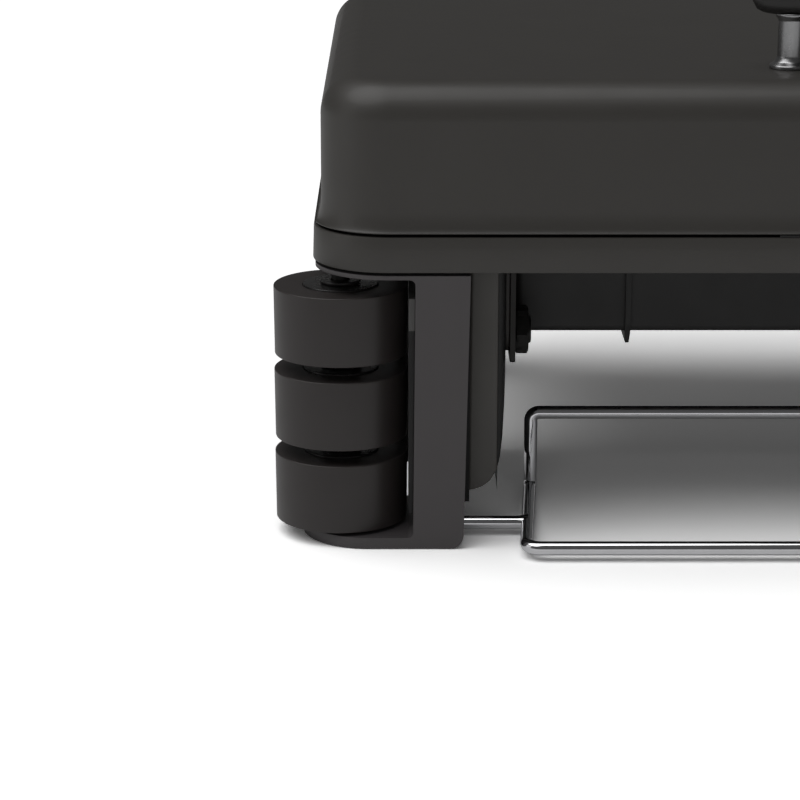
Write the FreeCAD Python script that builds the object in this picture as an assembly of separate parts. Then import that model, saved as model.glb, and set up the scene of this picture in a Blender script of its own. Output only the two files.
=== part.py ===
"""Electric griddle with a hinged lid, built as an assembly of separate pieces.

Frame: millimetres, +Z up, the front faces -Y and +X is to the right. The origin is the middle of the
overall box at the level of the worktop. Left-hand pieces are modelled once and mirrored where a
right-hand twin exists.
"""

import FreeCAD, Part
import math
import os

Vector = FreeCAD.Vector

# ---------------------------------------------------------------- body
body_width = 480.0
body_depth = 330.0
corner_radius = 32.5
leg_height = 119.4
leg_gasket_thickness = 1.2
band_height = 15.0
band_draft = 0.4
band_wall = 2.4
band_floor_thickness = 1.5
split_gap = 1.2

# ---------------------------------------------------------------- lid
lid_height = 62.0
lid_inset = 3.6
lid_rim_inset = 0.8
lid_flare_height = 10.0
lid_wall = 2.0
lid_top_radius = 16.0
liner_thickness = 0.8
liner_air_gap = 3.0
liner_flange_rise = 8.2
lid_open_angle = 95.0

# ---------------------------------------------------------------- handle
handle_length = 110.0
handle_post_spacing = 76.0
handle_post_radius = 6.0
handle_post_height = 22.0
handle_bar_width = 16.0
handle_bar_height = 15.0
handle_setback = 48.0
handle_screw_radius = 2.5
handle_screw_head_radius = 4.5
handle_screw_head_height = 3.0
handle_thread_depth = 9.0

# ---------------------------------------------------------------- cooking plate
plate_inset = 9.0
plate_base_thickness = 5.5
plate_rim_height = 2.0
plate_rim_width = 3.0
channel_width = 14.0
channel_depth = 2.5
ledge_drop = 5.6
ledge_thickness = 2.0
ledge_width = 12.0
plate_gasket_thickness = 1.5
plate_gasket_width = 5.0
plate_screw_radius = 2.0
plate_screw_head_radius = 3.2
plate_screw_head_height = 2.4
plate_screw_depth = 4.0
plate_screw_spread = 120.0
drain_radius = 4.0
drain_wall = 1.5
drain_offset = 9.4
drain_collar_radius = 6.3
drain_collar_thickness = 1.5
drain_end_clearance = 3.2

# ---------------------------------------------------------------- heating
element_radius = 3.3
element_drop = 0.2
element_row_pitch = 60.0
element_inner_end = 40.0
element_inner_turn = 70.0
element_outer_turn = 175.0
element_rows = 4
clip_x = 120.0
clip_length = 8.0
clip_width = 12.0
reflector_thickness = 0.8
reflector_margin_x = 30.0
reflector_margin_y = 25.0
terminal_pin_radius = 2.0
terminal_pin_length = 30.0
terminal_bush_radius = 4.5
terminal_bush_flange_radius = 7.0
terminal_bush_flange_thickness = 2.0
terminal_bush_length = 9.0
sensor_radius = 4.0
sensor_x = 130.0
fuse_radius = 3.0
fuse_length = 26.0
fuse_y = 30.0

# ---------------------------------------------------------------- belly pan under the body
pan_side_setback = 85.0
pan_front_setback = 60.0
pan_rear_setback = 60.0
pan_drop = 40.3
pan_sheet = 1.2
pan_corner_radius = 6.0
pan_edge_radius = 4.0
pan_flange = 16.0
pan_opening_margin = 4.0
pan_screw_radius = 2.0
pan_screw_head_radius = 3.5
rib_x = 103.0
rib_top_width = 2.4
rib_bottom_width = 1.5
rib_stand = 5.0
rib_length = 60.0

# ---------------------------------------------------------------- front legs
leg_depth = 60.0
web_outer_top_inset = 43.5
web_outer_bottom_inset = 42.6
web_inner_top_inset = 66.4
web_inner_bottom_inset = 64.0
arm_thickness = 1.7
arm_inset = 1.0
foot_thickness = 5.1
foot_overreach = 5.0
bay_top_radius = 2.5
bay_bottom_radius = 2.1
web_foot_radius = 6.4
pad_radius = 7.0
pad_height = 2.4
pad_stand = 0.4
pad_fit = 0.1
pad_spindle_gap = 0.7
leg_screw_radius = 2.5
leg_screw_head_radius = 4.5
leg_screw_head_height = 1.0
leg_screw_depth = 14.0
leg_screw_inset = 15.0

# ---------------------------------------------------------------- rear legs
rear_leg_width = 25.0
rear_leg_depth = 44.0
rear_leg_inset = 6.0
rear_leg_corner = 8.0
rear_leg_inner_inset = 66.0

# ---------------------------------------------------------------- stacked dials
dial_web_gap = 3.3
dial_front_inset = 1.4
dial_radius = 28.6
dial_taper = 0.3
dial_headroom = 8.4
dial_gap = 6.7
dial_edge = 0.5
dial_floor_gap = 1.4
hub_radius = 16.0
hub_proud = 0.6
hub_fit = 0.05
spindle_radius = 4.0
spindle_fit = 0.05
spindle_seat = 3.0
spacer_radius = 8.6
spacer_gap = 0.3
top_washer_height = 1.3
nut_flats_small = 13.0
nut_height_small = 4.6
strip_thickness = 2.4
strip_width = 36.0
strip_bottom = 12.0
strip_top_drop = 12.4
strip_screw_radius = 1.5
strip_screw_head_radius = 2.6
strip_screw_head_height = 1.4
strip_screw_depth = 8.0
strip_screw_inset = 10.0

# ---------------------------------------------------------------- side pods
pod_outer_inset = 34.0
pod_inner_inset = 79.0
pod_cover_thickness = 3.4
pod_tongue_inset = 67.0
pod_tongue_setback = 27.0
pod_rear_setback = 150.0
pod_leg_gap = 0.4
pod_bottom = 18.0
pod_corner = 15.0
pod_edge_radius = 5.0
pod_wall = 2.0
pod_bolt_setback = 45.0
pod_bolt_drop = 35.0
pod_bolt_radius = 6.0
pod_bolt_head_radius = 9.0
pod_bolt_head_depth = 5.0
pod_bolt_clearance = 0.2
pod_boss_radius = 14.6
pod_lug_radius = 9.3
pod_lug_thickness = 1.8
pod_strap_thickness = 2.4
pod_strap_drop = 46.6
pod_strap_front = 14.0
pod_strap_rear = 9.0
pod_strap_corner = 1.5
pod_nut_flats = 19.0
pod_nut_height = 5.9
pod_bolt_stickout = 1.2
board_thickness = 1.6
board_inset = 18.0
board_length = 70.0
board_height = 66.0
relay_size = 14.0

# ---------------------------------------------------------------- switch and inlet
rocker_radius = 9.0
rocker_length = 14.0
rocker_gap = 0.3
rocker_tilt = 10.0
rocker_centre_depth = 4.0
rocker_setback = 110.0
rocker_height = 66.0
switch_wall = 2.0
inlet_width = 22.0
inlet_height = 30.0
inlet_depth = 22.0
inlet_cavity_depth = 18.0
inlet_wall = 2.0
inlet_flange = 3.0
inlet_flange_thickness = 1.6
inlet_centre_height = 66.0
inlet_pin_length = 11.0
inlet_pin_width = 2.0
inlet_pin_height = 4.0
inlet_pin_pitch = 7.0

# ---------------------------------------------------------------- wire rack
wire_radius = 3.0
rack_front_overhang = 14.9
rack_front_inset = 90.4
rack_back_inset = 95.7
rack_back_setback = 72.0
rack_low = 5.6
rack_high = 40.3
rack_bend = 9.0
stub_setback = 20.0
stub_depth = 6.0
stub_fit = 0.05

# ---------------------------------------------------------------- grease cup
cup_wall = 1.6
cup_floor = 2.0
cup_foot_gap = 0.3
cup_groove = 0.8

# ---------------------------------------------------------------- hinges and bumpers
hinge_inset = 90.0
hinge_half_length = 22.0
hinge_middle_half = 9.5
hinge_side_gap = 0.5
hinge_knuckle_radius = 6.5
hinge_pin_radius = 3.0
hinge_pin_fit = 0.05
hinge_pin_head_radius = 4.5
hinge_pin_head_height = 1.2
hinge_plate_thickness = 2.0
hinge_plate_margin = 1.0
hinge_arm_top = 34.0
hinge_arm_low = 12.0
hinge_arm_thickness = 3.0
bumper_length = 12.0
bumper_width = 1.8
bumper_gap = 0.3
bumper_x_front = 40.0
bumper_x_rear = 100.0

# ---------------------------------------------------------------- derived levels and planes
half_width = body_width / 2.0
half_depth = body_depth / 2.0
front = -half_depth
rear = half_depth
band_bottom = leg_height + leg_gasket_thickness
band_top = band_bottom + band_height
band_floor_top = band_bottom + band_floor_thickness
lid_bottom = band_top + split_gap
lid_top = lid_bottom + lid_height
ledge_top = band_top - ledge_drop
ledge_bottom = ledge_top - ledge_thickness
plate_bottom = ledge_top + plate_gasket_thickness
plate_top = plate_bottom + plate_base_thickness
plate_rim_top = plate_top + plate_rim_height
plate_half_x = half_width - plate_inset
plate_half_y = half_depth - plate_inset
plate_radius = corner_radius - plate_inset
pan_flange_top = band_floor_top + pan_sheet
reflector_top = pan_flange_top + reflector_thickness
element_z = plate_bottom - element_drop - element_radius
pan_bottom = band_bottom - pan_drop
pan_front = front + pan_front_setback
pan_rear = rear - pan_rear_setback
pan_width = body_width - 2.0 * pan_side_setback
pan_depth = pan_rear - pan_front
web_outer_top = half_width - web_outer_top_inset
web_outer_bottom = half_width - web_outer_bottom_inset
web_inner_top = half_width - web_inner_top_inset
web_inner_bottom = half_width - web_inner_bottom_inset
foot_reach = half_width + foot_overreach
rear_leg_inner = half_width - rear_leg_inner_inset
dial_x = web_outer_top + dial_web_gap + dial_radius
dial_radius_low = dial_radius - dial_taper
foot_corner_radius = dial_radius_low
dial_y = front + dial_front_inset + dial_radius
dial_base = foot_thickness + dial_floor_gap
dial_bay = leg_height - arm_thickness - dial_base - dial_headroom
dial_height = (dial_bay - 2.0 * dial_gap) / 3.0
strip_top = leg_height - strip_top_drop
hinge_z = band_top + split_gap / 2.0
rear_overhang = rack_front_overhang + wire_radius
hinge_y = rear + rear_overhang - hinge_knuckle_radius
drain_x = dial_x - drain_offset
pod_outer = half_width - pod_outer_inset
pod_inner = half_width - pod_inner_inset
pod_tongue_outer = half_width - pod_tongue_inset
pod_front = front + pod_tongue_setback
pod_rear = front + pod_rear_setback
pod_step = front + leg_depth + pod_leg_gap
pod_bolt_y = front + pod_bolt_setback
pod_bolt_height = band_bottom - pod_bolt_drop
board_x = pod_outer - board_inset
rack_front_half = half_width - rack_front_inset
rack_back_half = half_width - rack_back_inset
hinge_x = half_width - hinge_inset
cut_margin = 1.0


# ---------------------------------------------------------------- shape helpers
def box(x0, x1, y0, y1, z0, z1):
    """A box between two corners, given as limits along each axis."""
    return Part.makeBox(x1 - x0, y1 - y0, z1 - z0, Vector(x0, y0, z0))


def rod(radius, start, end):
    """A round bar from one point to another."""
    direction = end.sub(start)
    return Part.makeCylinder(radius, direction.Length, start, direction)


def post(radius, x, y, z0, z1):
    """An upright round bar."""
    return rod(radius, Vector(x, y, z0), Vector(x, y, z1))


def ring(outer, inner, x, y, z0, z1):
    """An upright ring."""
    hole = post(inner, x, y, z0 - cut_margin, z1 + cut_margin)
    return post(outer, x, y, z0, z1).cut(hole)


def mirrored(shape):
    """The right-hand twin of a left-hand shape."""
    return shape.mirror(Vector(0, 0, 0), Vector(1, 0, 0))


def outline(points, radii):
    """A closed wire through corner points, each corner rounded by its own radius."""
    count = len(points)
    edges = []
    entries = []
    exits = []
    middles = []
    for index in range(count):
        corner = points[index]
        before = points[index - 1].sub(corner)
        after = points[(index + 1) % count].sub(corner)
        before.normalize()
        after.normalize()
        radius = radii[index]
        if radius <= 0:
            entries.append(corner)
            exits.append(corner)
            middles.append(None)
            continue
        half_angle = before.getAngle(after) / 2.0
        tangent = radius / math.tan(half_angle)
        bisector = before.add(after)
        bisector.normalize()
        centre = corner.add(bisector * (radius / math.sin(half_angle)))
        entries.append(corner.add(before * tangent))
        exits.append(corner.add(after * tangent))
        middles.append(centre.sub(bisector * radius))
    for index in range(count):
        if middles[index] is not None:
            edges.append(Part.Arc(entries[index], middles[index], exits[index]).toShape())
        start = exits[index]
        end = entries[(index + 1) % count]
        if start.distanceToPoint(end) > 1e-6:
            edges.append(Part.makeLine(start, end))
    return Part.Wire(edges)


def prism(points, radii, direction):
    """A solid swept straight along a direction from a rounded outline."""
    return Part.Face(outline(points, radii)).extrude(direction)


def plan_points(x0, x1, y0, y1, z):
    """The four corners of an upright block, front left first and anticlockwise."""
    return [Vector(x0, y0, z), Vector(x1, y0, z), Vector(x1, y1, z), Vector(x0, y1, z)]


def slab(half_x, half_y, radius, z0, z1):
    """A centred plate with four rounded upright corners."""
    points = plan_points(-half_x, half_x, -half_y, half_y, z0)
    return prism(points, [radius] * 4, Vector(0, 0, z1 - z0))


def frame_ring(half_x, half_y, radius, width, z0, z1):
    """A centred rectangular ring of even width with rounded corners."""
    hole = slab(half_x - width, half_y - width, max(radius - width, cut_margin), z0 - cut_margin, z1 + cut_margin)
    return slab(half_x, half_y, radius, z0, z1).cut(hole)


def drafted_slab(half_x, half_y, radius, top_inset, z0, z1):
    """A centred plate whose walls lean inwards towards the top."""
    low = outline(plan_points(-half_x, half_x, -half_y, half_y, z0), [radius] * 4)
    top_x = half_x - top_inset
    top_y = half_y - top_inset
    high = outline(plan_points(-top_x, top_x, -top_y, top_y, z1), [radius - top_inset] * 4)
    return Part.makeLoft([low, high], True, True)


def hexagon(flats, x0, x1, y, z):
    """A hexagonal prism along X with its flats at the top and the bottom."""
    across = flats / math.sqrt(3.0)
    points = []
    for step in range(6):
        angle = math.radians(60.0 * step)
        points.append(Vector(x0, y + across * math.cos(angle), z + across * math.sin(angle)))
    return prism(points, [0] * 6, Vector(x1 - x0, 0, 0))


def bent_rod(points, bend, radius, closed):
    """A round wire along straight runs joined by tangent bends."""
    count = len(points)
    starts = {}
    ends = {}
    pieces = []
    corners = range(count) if closed else range(1, count - 1)
    for index in corners:
        corner = points[index]
        before = points[index - 1].sub(corner)
        after = points[(index + 1) % count].sub(corner)
        before.normalize()
        after.normalize()
        half_angle = before.getAngle(after) / 2.0
        tangent = bend / math.tan(half_angle)
        bisector = before.add(after)
        bisector.normalize()
        centre = corner.add(bisector * (bend / math.sin(half_angle)))
        ends[index] = corner.add(before * tangent)
        starts[index] = corner.add(after * tangent)
        axis = before.cross(after)
        axis.normalize()
        circle = Part.makeCircle(radius, ends[index], before)
        disc = Part.Face(Part.Wire([circle]))
        turn = 180.0 - math.degrees(2.0 * half_angle)
        bend_piece = disc.revolve(centre, axis * -1.0, turn)
        pieces.append(bend_piece)
    runs = range(count) if closed else range(count - 1)
    for index in runs:
        following = (index + 1) % count
        start = starts.get(index, points[index])
        end = ends.get(following, points[following])
        pieces.append(rod(radius, start, end))
    return pieces[0].fuse(pieces[1:]).removeSplitter()


# ---------------------------------------------------------------- body and plate
def make_base_band():
    """Cast rim around the body, with a floor, a pan opening, a plate ledge and its holes."""
    outer = drafted_slab(half_width, half_depth, corner_radius, band_draft, band_bottom, band_top)
    inner_x = half_width - band_wall
    inner_y = half_depth - band_wall
    inner_radius = corner_radius - band_wall
    below = slab(inner_x, inner_y, inner_radius, band_floor_top, ledge_bottom)
    opening_x = inner_x - ledge_width
    opening_y = inner_y - ledge_width
    middle = slab(opening_x, opening_y, inner_radius - ledge_width, ledge_bottom - cut_margin, ledge_top + cut_margin)
    above = slab(inner_x - band_draft, inner_y - band_draft, inner_radius, ledge_top, band_top + cut_margin)
    pan_hole_x = pan_width / 2.0 + pan_opening_margin
    pan_hole = box(
        -pan_hole_x,
        pan_hole_x,
        pan_front - pan_opening_margin,
        pan_rear + pan_opening_margin,
        band_bottom - cut_margin,
        band_floor_top + cut_margin,
    )
    band = outer.cut([below, middle, above, pan_hole])
    cuts = []
    for x, y in leg_screw_places():
        cuts.append(post(leg_screw_radius, x, y, band_bottom - cut_margin, band_floor_top + cut_margin))
    for x, y in pan_screw_places():
        cuts.append(post(pan_screw_radius, x, y, band_bottom - cut_margin, band_floor_top + cut_margin))
    for x, y in plate_screw_places():
        cuts.append(post(plate_screw_radius, x, y, ledge_bottom - cut_margin, ledge_top + cut_margin))
    cuts.append(post(spindle_radius, -dial_x, dial_y, band_bottom - cut_margin, band_floor_top + cut_margin))
    spout_hole = drain_radius + drain_wall + spacer_gap
    cuts.append(post(spout_hole, drain_x, dial_y, band_bottom - cut_margin, band_floor_top + cut_margin))
    return band.cut(cuts)


def make_cooking_plate():
    """Cast plate with a raised rim, a grease channel around it and a drain hole."""
    plate = slab(plate_half_x, plate_half_y, plate_radius, plate_bottom, plate_rim_top)
    rim = plate_rim_width
    hollow = slab(plate_half_x - rim, plate_half_y - rim, plate_radius - rim, plate_top, plate_rim_top + cut_margin)
    channel = frame_ring(
        plate_half_x - rim,
        plate_half_y - rim,
        plate_radius - rim,
        channel_width,
        plate_top - channel_depth,
        plate_top + cut_margin,
    )
    drain = post(drain_radius, drain_x, dial_y, plate_bottom - cut_margin, plate_top + cut_margin)
    cuts = [hollow, channel, drain]
    for x, y in plate_screw_places():
        cuts.append(post(plate_screw_radius, x, y, plate_bottom - cut_margin, plate_bottom + plate_screw_depth))
    return plate.cut(cuts)


def make_plate_gasket():
    """Silicone ring between the ledge and the plate."""
    gasket = frame_ring(plate_half_x, plate_half_y, plate_radius, plate_gasket_width, ledge_top, plate_bottom)
    holes = []
    for x, y in plate_screw_places():
        holes.append(post(plate_screw_radius, x, y, ledge_top - cut_margin, plate_bottom + cut_margin))
    return gasket.cut(holes)


def plate_screw_places():
    """The plate is held by two screws on each short side."""
    x = plate_half_x - plate_gasket_width / 2.0
    y = plate_screw_spread / 2.0
    return [(side * x, end * y) for side in (-1, 1) for end in (-1, 1)]


def make_plate_screws():
    """Screws from under the ledge into the plate."""
    screws = []
    for x, y in plate_screw_places():
        head = post(plate_screw_head_radius, x, y, ledge_bottom - plate_screw_head_height, ledge_bottom)
        shank = post(plate_screw_radius, x, y, ledge_bottom, plate_bottom + plate_screw_depth)
        screws.append(head.fuse(shank))
    return Part.makeCompound(screws)


def make_drain_spout():
    """Steel tube that carries fat from the plate's channel to the cup."""
    lower_end = dial_base + dial_stack_height() + drain_end_clearance
    tube = ring(drain_radius + drain_wall, drain_radius, drain_x, dial_y, lower_end, plate_bottom)
    collar_low = plate_bottom - drain_collar_thickness
    collar = ring(drain_collar_radius, drain_radius, drain_x, dial_y, collar_low, plate_bottom)
    return tube.fuse(collar).removeSplitter()


# ---------------------------------------------------------------- heating
def element_row_y(row):
    """The middle line of one row of the heating tube."""
    return (row - (element_rows - 1) / 2.0) * element_row_pitch


def make_heating_element():
    """Left zone's heating tube: rows joined by half-round turns, both ends near the middle."""
    turn = element_row_pitch / 2.0
    pieces = []
    for row in range(element_rows):
        y = element_row_y(row)
        inner = element_inner_end if row in (0, element_rows - 1) else element_inner_turn
        start = Vector(-inner, y, element_z)
        pieces.append(rod(element_radius, start, Vector(-element_outer_turn, y, element_z)))
    for row in range(element_rows - 1):
        y = element_row_y(row)
        outside = row % 2 == 0
        x = -element_outer_turn if outside else -element_inner_turn
        centre = Vector(x, y + turn, element_z)
        disc = Part.Face(Part.Wire([Part.makeCircle(element_radius, Vector(x, y, element_z), Vector(1, 0, 0))]))
        pieces.append(disc.revolve(centre, Vector(0, 0, -1 if outside else 1), 180.0))
    return pieces[0].fuse(pieces[1:]).removeSplitter()


def make_element_clips():
    """Saddles that hold the heating tubes up against the plate."""
    clips = []
    for side in (-1, 1):
        for row in range(element_rows):
            x = side * clip_x
            y = element_row_y(row)
            half = clip_length / 2.0
            block = box(x - half, x + half, y - clip_width / 2.0, y + clip_width / 2.0, reflector_top, plate_bottom)
            seat_radius = element_radius + hub_fit
            seat = rod(seat_radius, Vector(x - clip_length, y, element_z), Vector(x + clip_length, y, element_z))
            mouth = box(x - clip_length, x + clip_length, y - seat_radius, y + seat_radius, element_z,
                        plate_bottom + cut_margin)
            clips.append(block.cut([seat, mouth]))
    return Part.makeCompound(clips)


def terminal_places():
    """One terminal at each free end of the two heating tubes."""
    x = element_inner_end - terminal_pin_radius - spacer_gap
    y = element_row_y(element_rows - 1)
    return [(side * x, end * y) for side in (-1, 1) for end in (-1, 1)]


def make_heat_reflector():
    """Bright sheet under the heating tubes."""
    half_x = half_width - reflector_margin_x
    half_y = half_depth - reflector_margin_y
    sheet = slab(half_x, half_y, pan_corner_radius, pan_flange_top, reflector_top)
    holes = []
    for x, y in terminal_places():
        hole_radius = terminal_bush_radius + hub_fit
        holes.append(post(hole_radius, x, y, pan_flange_top - cut_margin, reflector_top + cut_margin))
    return sheet.cut(holes)


def make_terminal_bushes():
    """Ceramic bushes that carry the terminals through the reflector."""
    bushes = []
    flange_top = reflector_top + terminal_bush_flange_thickness
    for x, y in terminal_places():
        bore = terminal_pin_radius + hub_fit
        body = ring(terminal_bush_radius, bore, x, y, reflector_top - terminal_bush_length, flange_top)
        flange = ring(terminal_bush_flange_radius, bore, x, y, reflector_top, flange_top)
        near = math.copysign(element_inner_end - element_radius - terminal_pin_radius, x)
        bush = body.fuse(flange)
        relief_radius = element_radius + spacer_gap
        far = math.copysign(element_inner_end + terminal_bush_flange_radius, x)
        relief = rod(relief_radius, Vector(near, y, element_z), Vector(far, y, element_z))
        bushes.append(bush.cut(relief).removeSplitter())
    return Part.makeCompound(bushes)


def make_terminal_pins():
    """Terminal pins at the ends of the heating tubes."""
    top = element_z + element_radius
    pins = []
    for x, y in terminal_places():
        pins.append(post(terminal_pin_radius, x, y, top - terminal_pin_length, top))
    return Part.makeCompound(pins)


def make_temperature_sensors():
    """One sensor button for each zone, between the rows of the heating tube."""
    sensors = []
    for side in (-1, 1):
        sensors.append(post(sensor_radius, side * sensor_x, 0, reflector_top, plate_bottom - element_drop))
    return Part.makeCompound(sensors)


def make_thermal_fuse():
    """Thermal fuse strapped under the reflector."""
    z = pan_flange_top - spacer_gap - fuse_radius
    half = fuse_length / 2.0
    return rod(fuse_radius, Vector(-half, fuse_y, z), Vector(half, fuse_y, z))


# ---------------------------------------------------------------- belly pan
def make_belly_pan():
    """Deep sheet pan that closes the body from below, hung by its flange in the band's opening."""
    half_x = pan_width / 2.0
    middle_y = (pan_front + pan_rear) / 2.0
    points = plan_points(-half_x, half_x, pan_front, pan_rear, pan_bottom)
    outer = prism(points, [pan_corner_radius] * 4, Vector(0, 0, pan_flange_top - pan_bottom))
    low_edges = [edge for edge in outer.Edges if edge.BoundBox.ZMax < pan_bottom + cut_margin]
    outer = outer.makeFillet(pan_edge_radius, low_edges)
    inner_points = plan_points(
        -half_x + pan_sheet,
        half_x - pan_sheet,
        pan_front + pan_sheet,
        pan_rear - pan_sheet,
        pan_bottom + pan_sheet,
    )
    inner_height = pan_flange_top - pan_bottom
    inner = prism(inner_points, [pan_corner_radius - pan_sheet] * 4, Vector(0, 0, inner_height))
    inner_low = [edge for edge in inner.Edges if edge.BoundBox.ZMax < pan_bottom + pan_sheet + cut_margin]
    inner = inner.makeFillet(pan_edge_radius - pan_sheet, inner_low)
    flange_x = half_x + pan_flange
    flange_y = pan_depth / 2.0 + pan_flange
    flange = slab(flange_x, flange_y, pan_corner_radius, band_floor_top, pan_flange_top)
    flange.translate(Vector(0, middle_y, 0))
    pan = outer.fuse(flange).cut(inner)
    holes = []
    for x, y in pan_screw_places():
        holes.append(post(pan_screw_radius, x, y, band_floor_top - cut_margin, pan_flange_top + cut_margin))
    return pan.cut(holes).removeSplitter()


def pan_screw_places():
    """Screws through the pan's flange, three along each long side."""
    reach = (pan_opening_margin + pan_flange) / 2.0
    places = []
    for y in (pan_front - reach, pan_rear + reach):
        for x in (-pan_width / 3.0, 0.0, pan_width / 3.0):
            places.append((x, y))
    return places


def make_pan_screws():
    """Flat-headed screws that go up through the band's floor into the pan's flange."""
    screws = []
    for x, y in pan_screw_places():
        head = post(pan_screw_head_radius, x, y, band_bottom - leg_screw_head_height, band_bottom)
        shank = post(pan_screw_radius, x, y, band_bottom, pan_flange_top)
        screws.append(head.fuse(shank))
    return Part.makeCompound(screws)


def make_pan_ribs():
    """Thin tapered ribs that wrap the front lower edge of the pan."""
    edge_z = pan_bottom + pan_edge_radius
    outer_y = pan_front - rib_top_width
    low = pan_bottom - rib_stand
    back = pan_front + rib_length
    side_view = [
        Vector(0, outer_y, band_bottom),
        Vector(0, outer_y, edge_z),
        Vector(0, pan_front + pan_edge_radius / 3.0, low),
        Vector(0, back, low),
        Vector(0, back + rib_stand, pan_bottom),
        Vector(0, pan_front + pan_edge_radius, pan_bottom),
        Vector(0, pan_front, pan_bottom + pan_edge_radius),
        Vector(0, pan_front, band_bottom),
    ]
    plate = prism(side_view, [0] * 8, Vector(rib_top_width, 0, 0))
    plate.translate(Vector(-rib_x - rib_top_width / 2.0, 0, 0))
    round_edge = rod(
        pan_edge_radius,
        Vector(-rib_x - rib_top_width, pan_front + pan_edge_radius, pan_bottom + pan_edge_radius),
        Vector(-rib_x + rib_top_width, pan_front + pan_edge_radius, pan_bottom + pan_edge_radius),
    )
    section = [
        Vector(-rib_x - rib_top_width / 2.0, outer_y - cut_margin, band_bottom),
        Vector(-rib_x - rib_top_width / 2.0, outer_y - cut_margin, pan_bottom),
        Vector(-rib_x - rib_bottom_width / 2.0, outer_y - cut_margin, low - cut_margin),
        Vector(-rib_x + rib_bottom_width / 2.0, outer_y - cut_margin, low - cut_margin),
        Vector(-rib_x + rib_top_width / 2.0, outer_y - cut_margin, pan_bottom),
        Vector(-rib_x + rib_top_width / 2.0, outer_y - cut_margin, band_bottom),
    ]
    tapered = prism(section, [0] * 6, Vector(0, rib_length * 2.0, 0))
    rib = plate.cut(round_edge).common(tapered)
    return Part.makeCompound([rib, mirrored(rib)])


# ---------------------------------------------------------------- legs
def make_front_leg_left():
    """C-shaped corner frame: a thin arm under the body, an upright web and a flat foot."""
    arm_low = leg_height - arm_thickness
    arm_reach = half_width - arm_inset
    reach = max(arm_reach, foot_reach) + cut_margin
    points = [
        Vector(-reach, front, 0),
        Vector(-web_inner_bottom, front, 0),
        Vector(-web_inner_top, front, leg_height),
        Vector(-reach, front, leg_height),
        Vector(-reach, front, arm_low),
        Vector(-web_outer_top, front, arm_low),
        Vector(-web_outer_bottom, front, foot_thickness),
        Vector(-reach, front, foot_thickness),
    ]
    radii = [0, web_foot_radius, 0, 0, 0, bay_top_radius, bay_bottom_radius, 0]
    side = prism(points, radii, Vector(0, leg_depth, 0))
    middle = leg_height / 2.0
    back = front + leg_depth
    foot_plan = prism(
        plan_points(-foot_reach, -web_inner_top, front, back, 0),
        [foot_corner_radius, 0, 0, foot_corner_radius],
        Vector(0, 0, middle),
    )
    arm_plan = prism(
        plan_points(-arm_reach, -web_inner_top, front, back, middle),
        [corner_radius - arm_inset, 0, 0, leg_depth - corner_radius - cut_margin],
        Vector(0, 0, middle),
    )
    leg = side.common(foot_plan.fuse(arm_plan))
    pads = []
    for x, y in front_pad_places():
        pads.append(post(pad_radius + pad_fit, x, y, -cut_margin, pad_height))
    trim = box(-reach, 0, front, back, -cut_margin, pad_stand)
    stub_end = -web_inner_bottom - stub_depth
    stub = rod(
        wire_radius + stub_fit,
        Vector(stub_end, front + stub_setback, rack_low),
        Vector(-web_inner_top, front + stub_setback, rack_low),
    )
    screws = []
    for x, y in leg_screw_places():
        if x < 0 and y < 0:
            screws.append(post(leg_screw_radius, x, y, leg_height - leg_screw_depth, leg_height + cut_margin))
    bolt = rod(
        pod_bolt_radius + pod_bolt_clearance,
        Vector(-web_outer_bottom, pod_bolt_y, pod_bolt_height),
        Vector(-web_inner_top, pod_bolt_y, pod_bolt_height),
    )
    head_start = -web_outer_bottom - cut_margin
    head_end = -web_outer_top + pod_bolt_head_depth
    head = rod(
        pod_bolt_head_radius + pod_bolt_clearance,
        Vector(head_start, pod_bolt_y, pod_bolt_height),
        Vector(head_end, pod_bolt_y, pod_bolt_height),
    )
    return leg.cut(pads + [trim, stub, bolt, head] + screws)


def make_dial_side_leg():
    """Left front leg, bored for the dial spindle and the sensor strip's screws."""
    leg = make_front_leg_left()
    low_hole = post(spindle_radius, -dial_x, dial_y, foot_thickness - spindle_seat, foot_thickness + cut_margin)
    high_hole = post(spindle_radius, -dial_x, dial_y, leg_height - arm_thickness - cut_margin, leg_height + cut_margin)
    cuts = [low_hole, high_hole]
    for z in strip_screw_heights():
        start = Vector(-web_outer_bottom - strip_thickness, dial_y, z)
        end = Vector(-web_outer_top + strip_screw_depth, dial_y, z)
        cuts.append(rod(strip_screw_radius, start, end))
    return leg.cut(cuts)


def make_cup_side_leg():
    """Right front leg, bored for the drain spout."""
    hole_radius = drain_radius + drain_wall + spacer_gap
    hole = post(hole_radius, drain_x, dial_y, leg_height - arm_thickness - cut_margin, leg_height + cut_margin)
    return mirrored(make_front_leg_left()).cut(hole)


def make_rear_leg():
    """Plain rear leg post with rounded upright edges."""
    back = rear - rear_leg_inset
    points = plan_points(-rear_leg_inner - rear_leg_width, -rear_leg_inner, back - rear_leg_depth, back, pad_stand)
    leg = prism(points, [rear_leg_corner] * 4, Vector(0, 0, leg_height - pad_stand))
    cuts = []
    for x, y in leg_screw_places():
        if x < 0 and y > 0:
            cuts.append(post(leg_screw_radius, x, y, leg_height - leg_screw_depth, leg_height + cut_margin))
    x, y = rear_pad_place()
    cuts.append(post(pad_radius + pad_fit, x, y, 0, pad_height))
    return leg.cut(cuts)


def front_pad_places():
    """Two recessed pads under the left front foot."""
    middle_y = front + leg_depth / 2.0
    web_middle = -(web_inner_bottom + web_outer_bottom) / 2.0
    outer_x = -dial_x + spindle_radius + pad_spindle_gap + pad_radius
    return [(outer_x, middle_y), (web_middle, middle_y)]


def rear_pad_place():
    """One recessed pad under the left rear leg."""
    x = -rear_leg_inner - rear_leg_width / 2.0
    return x, rear - rear_leg_inset - rear_leg_depth / 2.0


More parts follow.
